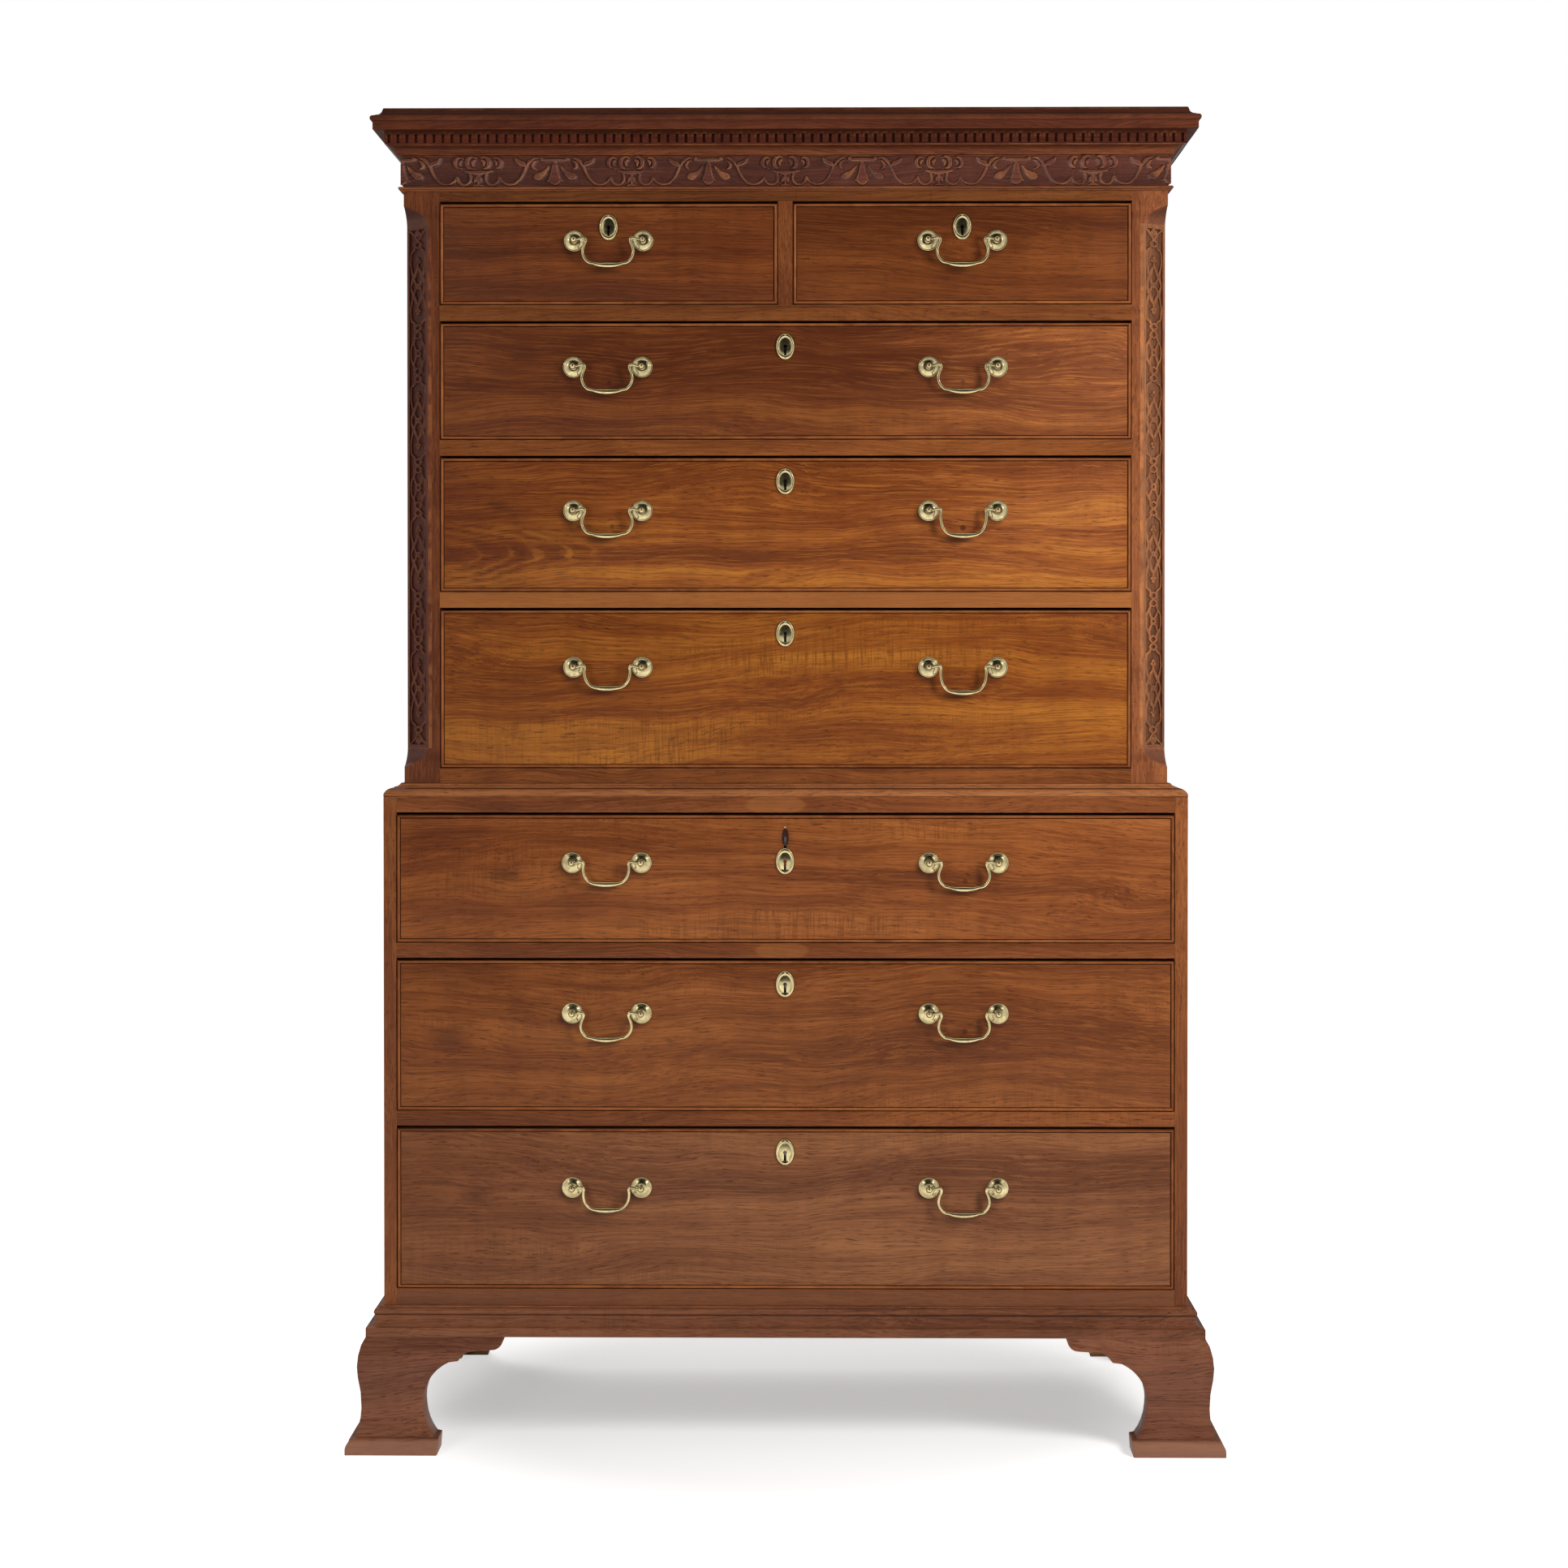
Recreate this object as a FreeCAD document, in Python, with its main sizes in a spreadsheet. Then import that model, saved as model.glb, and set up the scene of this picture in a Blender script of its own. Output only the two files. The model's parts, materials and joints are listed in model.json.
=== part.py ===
import FreeCAD, Part
import math
import os
from types import SimpleNamespace
import Sketcher

# A Georgian mahogany chest on chest, in millimetres.  +Z is up, the drawers
# face -Y, and the origin is the centre of the floor space that it covers.
# The upper case lifts off the lower one.  Every drawer slides forward, every
# bail handle swings in its posts and every lock throws a bolt upwards.

SIZES = {
    # The two cases.
    "case_depth": 560,
    "lower_width": 1118,
    "setback": 26,
    "side_board": 18,
    "back_board": 12,
    "rail_depth": 60,
    "rail_board": 22,
    "dust_board": 12,
    "case_board": 16,
    "top_board": 16,
    "lift_gap": 0.5,
    # Feet and base moulding.
    "foot_height": 158,
    "foot_reach": 48,
    "foot_bulge": 33,
    "foot_waist": 27.6,
    "foot_under": 6,
    "plinth_height": 21.5,
    "plinth_width": 79,
    "bracket_width": 169.6,
    "bracket_lip": 18,
    "back_bracket_board": 20,
    "block_side": 42,
    "block_lift": 3,
    "base_height": 40,
    "base_reach": 22.5,
    # Lower case openings, from the floor upwards.
    "lower_foot_rail": 23,
    "lower_opening_3": 227,
    "lower_opening_2": 213,
    "lower_opening_1": 181.5,
    "lower_rail": 21,
    "lower_top_rail": 21.5,
    "waist_height": 18.5,
    # Upper case openings, from the waist upwards.
    "upper_foot_rail": 39,
    "upper_opening_4": 224.5,
    "upper_opening_3": 190.5,
    "upper_opening_2": 166,
    "upper_opening_1": 144.5,
    "upper_rail": 22,
    "upper_top_rail": 20,
    "muntin": 20.5,
    "frieze_height": 43.5,
    "frieze_relief": 3,
    "astragal_height": 6,
    "astragal_reach": 7,
    # Canted corner posts.
    "post_side": 50,
    "cant_leg": 33.5,
    "cant_start": 41,
    "cant_stop": 26,
    "tongue": 26,
    "panel_margin": 5,
    "panel_sink": 2.5,
    # Cornice, measured out from the case and up from the frieze.
    "cornice_height": 62.5,
    "cornice_reach": 41.5,
    "corona_reach": 38,
    "corona_base": 30.8,
    "corona_height": 9.7,
    "cove_reach": 18.5,
    "cove_height": 10.8,
    "dentil_base": 13.3,
    "dentil_reach": 23.5,
    "dentil_cut": 4.5,
    "dentil_pitch": 12.4,
    "dentil_gap": 4.2,
    "dentil_foot": 2,
    # Drawers.
    "drawer_front": 20,
    "drawer_side": 12,
    "drawer_back": 10,
    "drawer_bottom": 6,
    "bottom_lift": 8,
    "side_drop": 5,
    "back_drop": 12,
    "side_gap": 1.2,
    "head_gap": 2.6,
    "foot_gap": 1,
    "runner_gap": 0.3,
    "back_gap": 8,
    "cockbead": 4,
    "cockbead_proud": 2.5,
    "stop_width": 34,
    "stop_depth": 14,
    "stop_height": 5,
    "guide_height": 24,
    "kicker_height": 20,
    # Locks.
    "lock_width": 62,
    "lock_height": 44,
    "lock_depth": 9,
    "lock_drop": 32.5,
    "bolt_width": 16,
    "bolt_depth": 4,
    "bolt_height": 22,
    "bolt_gap": 0.4,
    "bolt_throw": 6,
    "mortise_spare": 2,
    "keyhole_radius": 2.6,
    "keyhole_slot": 3.4,
    "keyhole_length": 13,
    "escutcheon_width": 27,
    "escutcheon_height": 38,
    "escutcheon_rise": 4,
    "escutcheon_pin": 1.4,
    "escutcheon_slip": 31.5,
    # Bail handles.
    "handle_offset": 248,
    "handle_centres": 96,
    "rose_radius": 14.75,
    "rose_rise": 4.8,
    "rose_rim": 1.2,
    "post_reach": 15,
    "ball_radius": 4.6,
    "shank_radius": 2.4,
    "shank_fit": 0.1,
    "nut_side": 10,
    "nut_height": 3,
    "pin_radius": 1.6,
    "pin_fit": 0.05,
    "bail_radius": 2.2,
    "grip_radius": 3.4,
    "bail_drop_deep": 34.6,
    "bail_drop_shallow": 28.6,
    "rose_drop_short": 52.5,
    "rose_drop_upper_2": 62,
    "rose_drop_upper_3": 74.5,
    "rose_drop_upper_4": 80.5,
    "rose_drop_lower_1": 67,
    "rose_drop_lower_2": 74,
    "rose_drop_lower_3": 83,
}


class Size:
    """A number together with the sheet formula that gives it."""

    def __init__(self, value, text):
        self.value = float(value)
        self.text = text

    def __add__(self, other):
        other = as_size(other)
        return Size(self.value + other.value, f"({self.text} + {other.text})")

    def __sub__(self, other):
        other = as_size(other)
        return Size(self.value - other.value, f"({self.text} - {other.text})")

    def __mul__(self, factor):
        factor = as_size(factor)
        return Size(self.value * factor.value, f"{self.text} * {factor.text}")

    def __truediv__(self, factor):
        factor = as_size(factor)
        return Size(self.value / factor.value, f"{self.text} / {factor.text}")

    def __neg__(self):
        return Size(-self.value, f"(0 - {self.text})")

    def __radd__(self, other):
        return as_size(other) + self

    def __rsub__(self, other):
        return as_size(other) - self

    def __rmul__(self, other):
        return self * other


def as_size(number):
    """Let plain numbers stand in formulas."""
    return number if isinstance(number, Size) else Size(number, f"{number:g}")


doc = FreeCAD.newDocument("chest_on_chest")
sheet = doc.addObject("Spreadsheet::Sheet", "Sizes")
for row, (alias, number) in enumerate(SIZES.items(), start=1):
    sheet.set(f"A{row}", alias)
    sheet.set(f"B{row}", str(number))
    sheet.setAlias(f"B{row}", alias)
doc.recompute()
size = SimpleNamespace(**{word: Size(number, f"Sizes.{word}") for word, number in SIZES.items()})
nodes = []

# ---------------------------------------------------------------- places
ROOT_HALF = math.sqrt(0.5)
FRONT = (size.foot_reach - size.case_depth) / 2
BACK = (size.foot_reach + size.case_depth) / 2
LOWER_HALF = size.lower_width / 2
UPPER_FRONT = FRONT + size.setback
UPPER_HALF = LOWER_HALF - size.setback
INSIDE_BACK = BACK - size.back_board
BASE_TOP = size.foot_height + size.base_height
LOWER_FLOOR_3 = BASE_TOP + size.lower_foot_rail
LOWER_HEAD_3 = LOWER_FLOOR_3 + size.lower_opening_3
LOWER_FLOOR_2 = LOWER_HEAD_3 + size.lower_rail
LOWER_HEAD_2 = LOWER_FLOOR_2 + size.lower_opening_2
LOWER_FLOOR_1 = LOWER_HEAD_2 + size.lower_rail
LOWER_HEAD_1 = LOWER_FLOOR_1 + size.lower_opening_1
LOWER_TOP = LOWER_HEAD_1 + size.lower_top_rail
UPPER_FLOOR_4 = LOWER_TOP + size.upper_foot_rail
UPPER_HEAD_4 = UPPER_FLOOR_4 + size.upper_opening_4
UPPER_FLOOR_3 = UPPER_HEAD_4 + size.upper_rail
UPPER_HEAD_3 = UPPER_FLOOR_3 + size.upper_opening_3
UPPER_FLOOR_2 = UPPER_HEAD_3 + size.upper_rail
UPPER_HEAD_2 = UPPER_FLOOR_2 + size.upper_opening_2
UPPER_FLOOR_1 = UPPER_HEAD_2 + size.upper_rail
UPPER_HEAD_1 = UPPER_FLOOR_1 + size.upper_opening_1
FRIEZE_BASE = UPPER_HEAD_1 + size.upper_top_rail
CORNICE_BASE = FRIEZE_BASE + size.frieze_height
TOP = CORNICE_BASE + size.cornice_height
UNDER_TOP = TOP - size.top_board
LOWER_BAY = LOWER_HALF - size.side_board
UPPER_BAY = UPPER_HALF - size.post_side
SIDE_INNER = UPPER_HALF - size.side_board
SHORT_BAY = (UPPER_BAY - size.muntin / 2) / 2
SHORT_CENTRE = (UPPER_BAY + size.muntin / 2) / 2


# ---------------------------------------------------------------- helpers
def bind(thing, prop, amount):
    """Tie one property to the sheet."""
    thing.setExpression(prop, as_size(amount).text)


def place(thing, x=0, y=0, z=0):
    """Tie a position to the sheet, keeping the rotation."""
    base = FreeCAD.Vector(*[as_size(amount).value for amount in (x, y, z)])
    thing.Placement = FreeCAD.Placement(base, thing.Placement.Rotation)
    for axis, amount in zip("xyz", (x, y, z)):
        bind(thing, f"Placement.Base.{axis}", amount)
    return thing


def box(label, x_span, y_span, z_span):
    """A board between two places along each axis."""
    board = doc.addObject("Part::Box", label)
    for prop, (low, high) in zip(("Length", "Width", "Height"), (x_span, y_span, z_span)):
        bind(board, prop, as_size(high) - low)
    return place(board, x_span[0], y_span[0], z_span[0])


def middle(centre, width):
    """The span of a given width about a centre."""
    return centre - width / 2, centre + width / 2


def rod(label, radius, length, axis, x, y, z):
    """A round bar that starts at a place and runs along an axis."""
    bar = doc.addObject("Part::Cylinder", label)
    bind(bar, "Radius", radius)
    bind(bar, "Height", length)
    bar.Placement.Rotation = FreeCAD.Rotation(FreeCAD.Vector(0, 0, 1), FreeCAD.Vector(*axis))
    return place(bar, x, y, z)


def cut(label, base, tools):
    """Take the tools out of a base."""
    result = doc.addObject("Part::Cut", label)
    result.Base = base
    result.Tool = tools[0] if len(tools) == 1 else group(f"{label}_tools", tools)
    return result


def fuse(label, pieces):
    """Join pieces into one solid."""
    result = doc.addObject("Part::MultiFuse", label)
    result.Shapes = pieces
    return result


def group(label, pieces):
    """Hold separate solids together."""
    result = doc.addObject("Part::Compound", label)
    result.Links = pieces
    return result


def mirror(label, source):
    """The same piece on the other side of the case."""
    result = doc.addObject("Part::Mirroring", label)
    result.Source = source
    result.Normal = FreeCAD.Vector(1, 0, 0)
    return result


def link(label, source, x=0, y=0, z=0):
    """Another copy of a piece at a place of its own."""
    copy = doc.addObject("App::Link", label)
    copy.LinkedObject = source
    return place(copy, x, y, z)


def node(label, pieces):
    """One named sub-part, made of separate solids."""
    result = pieces[0] if len(pieces) == 1 else group(label, pieces)
    result.Label = label
    nodes.append(result)
    return result


# ---------------------------------------------------------------- sketches
def plane_of(body, role):
    return next(item for item in body.Origin.OriginFeatures if item.Role == role)


def sketch_on(body, role, outline):
    """Draw a closed outline on one of the body's own planes.

    A point is (x, y) after a straight run, or (x, y, via_x, via_y) after an
    arc that passes the via point on its way."""
    sketch = body.newObject("Sketcher::SketchObject", f"{body.Name}_{role[:2]}_sketch")
    sketch.AttachmentSupport = [(plane_of(body, role), "")]
    sketch.MapMode = "FlatFace"
    spots = [tuple(as_size(amount) for amount in point) for point in outline]
    starts, ends, vias = [], [], []
    for before, after in zip(spots[-1:] + spots[:-1], spots):
        first = FreeCAD.Vector(before[0].value, before[1].value, 0)
        last = FreeCAD.Vector(after[0].value, after[1].value, 0)
        if len(after) == 2:
            edge = sketch.addGeometry(Part.LineSegment(first, last), False)
            starts.append((edge, 1))
            ends.append((edge, 2))
            continue
        via = FreeCAD.Vector(after[2].value, after[3].value, 0)
        edge = sketch.addGeometry(Part.Arc(first, via, last), False)
        to_one, to_two = [sketch.getPoint(edge, end).distanceToPoint(first) for end in (1, 2)]
        forward = to_one < to_two
        starts.append((edge, 1 if forward else 2))
        ends.append((edge, 2 if forward else 1))
        vias.append((edge, sketch.addGeometry(Part.Point(via), True), after[2], after[3]))
    for number, (x, y, *rest) in enumerate(spots):
        pin_point(sketch, *ends[number], x, y)
        next_start = starts[(number + 1) % len(spots)]
        sketch.addConstraint(Sketcher.Constraint("Coincident", *ends[number], *next_start))
    for edge, point, x, y in vias:
        pin_point(sketch, point, 1, x, y)
        sketch.addConstraint(Sketcher.Constraint("PointOnObject", point, 1, edge))
    return sketch


def pin_point(sketch, edge, end, x, y):
    """Dimension one point from the sketch's origin."""
    for kind, amount in (("DistanceX", x), ("DistanceY", y)):
        number = sketch.addConstraint(Sketcher.Constraint(kind, -1, 1, edge, end, amount.value))
        sketch.renameConstraint(number, f"{kind}_{edge}_{end}")
        sketch.setExpression(f"Constraints.{kind}_{edge}_{end}", amount.text)


def pad(body, sketch, forward, backward=None):
    """Thicken a sketch: both ways by half, or a length each way."""
    feature = body.newObject("PartDesign::Pad", f"{body.Name}_pad")
    feature.Profile = sketch
    feature.SideType = "Symmetric" if backward is None else "Two sides"
    bind(feature, "Length", forward)
    if backward is not None:
        bind(feature, "Length2", backward)
    return feature


def pocket(body, sketch):
    """Cut a sketch right through, both ways."""
    feature = body.newObject("PartDesign::Pocket", f"{body.Name}_pocket")
    feature.Profile = sketch
    feature.SideType = "Symmetric"
    feature.Type = "ThroughAll"
    return feature


def new_body(label):
    return doc.addObject("PartDesign::Body", label)


def front_run(label, half, face, outline, inner, outer):
    """A moulding across the front, mitred at both ends.

    The outline is given as (out from the face, height)."""
    body = new_body(label)
    pad(body, sketch_on(body, "YZ_Plane", turned(outline, lambda out: face - out)), (half + outer) * 2)
    for side in (-1, 1):
        mitre = [
            (side * (half + inner), face - inner),
            (side * (half + outer), face - outer),
            (side * (half + outer), face - inner),
        ]
        pocket(body, sketch_on(body, "XY_Plane", mitre))
    return body


def side_run(label, half, face, outline, inner, outer):
    """The same moulding along the left side, mitred at the front."""
    body = new_body(label)
    section = sketch_on(body, "XZ_Plane", turned(outline, lambda out: -half - out))
    pad(body, section, outer - face, BACK)
    mitre = [
        (-half - inner, face - inner),
        (-half - outer, face - outer),
        (-half - inner, face - outer),
    ]
    pocket(body, sketch_on(body, "XY_Plane", mitre))
    return body


def turned(outline, move):
    """Carry (out, height) points to sketch places."""
    places = []
    for point in outline:
        places.append(tuple(move(as_size(n)) if index % 2 == 0 else n for index, n in enumerate(point)))
    return places


def moulding(label, half, face, outline, inner, outer):
    """The front run with a run down each side."""
    front = front_run(f"{label}_front_run", half, face, outline, inner, outer)
    left = side_run(f"{label}_left_run", half, face, outline, inner, outer)
    return [front, left, mirror(f"{label}_right_run", left)]


MITRE_SPARE = 2


# ---------------------------------------------------------------- lower case
def lower_case():
    bay = (-LOWER_BAY, LOWER_BAY)
    left = box("lower_side_left", (-LOWER_HALF, -LOWER_BAY), (FRONT, BACK), (size.foot_height, LOWER_TOP))
    node("lower_sides", [left, mirror("lower_side_right", left)])

    foot_y = (FRONT, FRONT + size.rail_board)
    foot_rail = box("lower_foot_rail_board", bay, foot_y, (size.foot_height, LOWER_FLOOR_3))
    rails = [foot_rail]
    for number, low, high in (
        (3, LOWER_HEAD_3, LOWER_FLOOR_2),
        (2, LOWER_HEAD_2, LOWER_FLOOR_1),
        (1, LOWER_HEAD_1, LOWER_TOP),
    ):
        board = box(f"lower_rail_blank_{number}", bay, (FRONT, FRONT + size.rail_depth), (low, high))
        hole = mortise(f"lower_mortise_{number}", as_size(0), FRONT, low)
        rails.append(cut(f"lower_rail_{number}", board, [hole]))
    node("lower_rails", rails)

    behind_foot = (FRONT + size.rail_board, INSIDE_BACK)
    behind_rail = (FRONT + size.rail_depth, INSIDE_BACK)
    boards = [
        box("lower_floor_board", bay, behind_foot, (LOWER_FLOOR_3 - size.case_board, LOWER_FLOOR_3)),
        box("lower_dust_board_2", bay, behind_rail, (LOWER_FLOOR_2 - size.dust_board, LOWER_FLOOR_2)),
        box("lower_dust_board_1", bay, behind_rail, (LOWER_FLOOR_1 - size.dust_board, LOWER_FLOOR_1)),
        box("lower_roof_board", bay, behind_rail, (LOWER_TOP - size.case_board, LOWER_TOP)),
    ]
    for number, floor in ((1, LOWER_FLOOR_1), (2, LOWER_FLOOR_2), (3, LOWER_FLOOR_3)):
        boards += stops(f"lower_stop_{number}", as_size(0), LOWER_BAY, FRONT, floor)
    node("lower_boards", boards)
    node("lower_back", [box("lower_back_board", bay, (INSIDE_BACK, BACK), (size.foot_height, LOWER_TOP))])


def mortise(label, centre, face, low):
    """The slot in the underside of a rail that a lock bolt enters."""
    bolt_back = face + size.drawer_front - size.bolt_gap
    span = (bolt_back - size.bolt_depth - size.bolt_gap * 2, bolt_back + size.bolt_gap)
    width = size.bolt_width + size.bolt_gap * 4
    return box(label, middle(centre, width), span, (low - 1, low + size.bolt_throw + size.mortise_spare))


def stops(label, centre, half_bay, face, floor):
    """Two small blocks, part of the way out, that a drawer front closes against."""
    way_out = 0.6
    back_of_front = face + size.drawer_front
    blocks = []
    for side in (-1, 1):
        where = centre + side * half_bay * way_out
        span = (back_of_front, back_of_front + size.stop_depth)
        height = (floor, floor + size.stop_height)
        blocks.append(box(f"{label}_{side + 1}", middle(where, size.stop_width), span, height))
    return blocks


def waist_moulding():
    """A hollow that falls from the upper case, a small step, then a round nose."""
    inner = size.lift_gap - size.setback
    high = LOWER_TOP + size.waist_height
    lip = inner + 4
    hollow_end = (inner + 12, LOWER_TOP + 13.7)
    hollow_middle = (inner + 7, LOWER_TOP + 15.2)
    step = (inner + 12.6, LOWER_TOP + 12)
    nose = (0, LOWER_TOP + 3.6)
    nose_middle = (-4.6, LOWER_TOP + 9.8)
    outline = [
        (inner, LOWER_TOP),
        (inner, high),
        (lip, high),
        hollow_end + hollow_middle,
        step,
        nose + nose_middle,
        (0, LOWER_TOP),
    ]
    runs = moulding("waist", LOWER_HALF, FRONT, outline, inner - MITRE_SPARE, as_size(MITRE_SPARE))
    node("waist_moulding", runs)


def base_moulding():
    """A fillet and bead over a hollow that spreads to a square foot."""
    low = size.foot_height
    reach = size.base_reach
    fillet = 6
    fillet_low = BASE_TOP - 3
    neck = 9.5
    bead_end = (neck, BASE_TOP - 12)
    bead_middle = (12.6, BASE_TOP - 7.2)
    neck_low = BASE_TOP - 14
    square = low + 12.5
    hollow_end = (reach - 1.5, square)
    hollow_middle = (12.2, low + 17.5)
    outline = [
        (0, low),
        (0, BASE_TOP),
        (fillet, BASE_TOP),
        (fillet, fillet_low),
        bead_end + bead_middle,
        (neck, neck_low),
        hollow_end + hollow_middle,
        (reach, square),
        (reach, low),
    ]
    outer = reach + MITRE_SPARE
    node("base_moulding", moulding("base", LOWER_HALF, FRONT, outline, as_size(-MITRE_SPARE), outer))


# ---------------------------------------------------------------- feet
def foot_section():
    """The ogee of a foot: out from the case, against height."""
    step = size.plinth_height
    swell = size.foot_height - 40
    neck = step + 40
    worn_edge = (size.foot_reach, 7)
    plinth_slope = (size.foot_reach - 5, step - 4)
    plinth_top = (size.foot_reach - 5.5, step)
    hollow_start = (size.foot_reach - 12, step + 1)
    hollow_end = (size.foot_waist, neck)
    hollow_middle = (size.foot_waist + 2.6, step + 18)
    rise_end = (size.foot_bulge - 1, swell - 14)
    rise_middle = (size.foot_waist + 1.4, neck + 25)
    shoulder = (size.foot_bulge - 5, size.foot_height - 10)
    swell_middle = (size.foot_bulge, swell + 4)
    return [
        (-size.foot_under, 0),
        (size.foot_reach, 0),
        worn_edge,
        plinth_slope,
        plinth_top,
        hollow_start,
        hollow_end + hollow_middle,
        rise_end + rise_middle,
        shoulder + swell_middle,
        (size.base_reach, size.foot_height),
        (-size.foot_under, size.foot_height),
    ]


def bracket_window(move, beyond):
    """The part sawn away from a bracket: inwards from the corner, against height."""
    step = size.plinth_height
    lip = size.foot_height - size.bracket_lip
    wide = size.bracket_width
    toe = size.plinth_width
    above = size.foot_height + 1
    below = -1
    neck = (toe - 19.5, step + 40)
    neck_middle = (toe - 15, step + 19)
    first_lobe = (toe + 15, lip - 15)
    first_middle = (toe - 10.5, step + 82)
    cusp = (toe + 28, lip - 15.5)
    cusp_middle = (toe + 21, lip - 14)
    second_lobe = (toe + 50, lip)
    second_middle = (toe + 34, lip - 6)
    wing = (wide - 16, lip + 1.5)
    tip = (wide - 1, size.foot_height - 4)
    tip_middle = (wide - 5, lip + 6)
    points = [
        (toe, below),
        (toe + 1.6, step),
        (toe - 5, step + 1),
        neck + neck_middle,
        first_lobe + first_middle,
        cusp + cusp_middle,
        second_lobe + second_middle,
        wing,
        tip + tip_middle,
        (wide, above),
        (beyond, above),
        (beyond, below),
    ]
    return turned(points, move)


def bracket_feet():
    """Four ogee feet: mitred brackets, plain back brackets and glue blocks."""
    under = -size.foot_under
    outer = size.foot_reach + MITRE_SPARE
    far_x = LOWER_HALF * 3
    far_y = size.case_depth * 2

    front = front_run("foot_front_bracket", LOWER_HALF, FRONT, foot_section(), under - MITRE_SPARE, outer)
    pocket(front, sketch_on(front, "XZ_Plane", bracket_window(lambda inn: inn - LOWER_HALF, far_x)))

    side = side_run("foot_side_bracket", LOWER_HALF, FRONT, foot_section(), under - MITRE_SPARE, outer)
    pocket(side, sketch_on(side, "YZ_Plane", bracket_window(lambda inn: FRONT + inn, far_y)))

    rear = new_body("foot_rear_bracket")
    section = sketch_on(rear, "XZ_Plane", turned(foot_section(), lambda out: -LOWER_HALF - out))
    pad(rear, section, outer - FRONT, BACK)
    pocket(rear, sketch_on(rear, "YZ_Plane", bracket_window(lambda inn: BACK - inn, far_y)))

    inside = -LOWER_HALF + size.foot_under
    plain = new_body("foot_back_bracket")
    lip = size.foot_height - size.bracket_lip
    board = [
        (inside, 0),
        (inside + size.plinth_width, 0),
        (inside + size.plinth_width, lip / 2),
        (-LOWER_HALF + size.bracket_width, lip),
        (-LOWER_HALF + size.bracket_width, size.foot_height),
        (inside, size.foot_height),
    ]
    thick = size.back_bracket_board
    pad(plain, sketch_on(plain, "XZ_Plane", board), as_size(0) - (BACK - thick), BACK)

    height = (size.block_lift, size.foot_height)
    across = (inside, inside + size.block_side)
    front_inside = FRONT + size.foot_under
    blocks = [
        box("foot_front_block", across, (front_inside, front_inside + size.block_side), height),
        box("foot_rear_block", across, (BACK - thick - size.block_side, BACK - thick), height),
    ]
    left = [front, side, rear, plain] + blocks
    node("bracket_feet", left + [mirror(f"{piece.Name}_right", piece) for piece in left])


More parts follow.
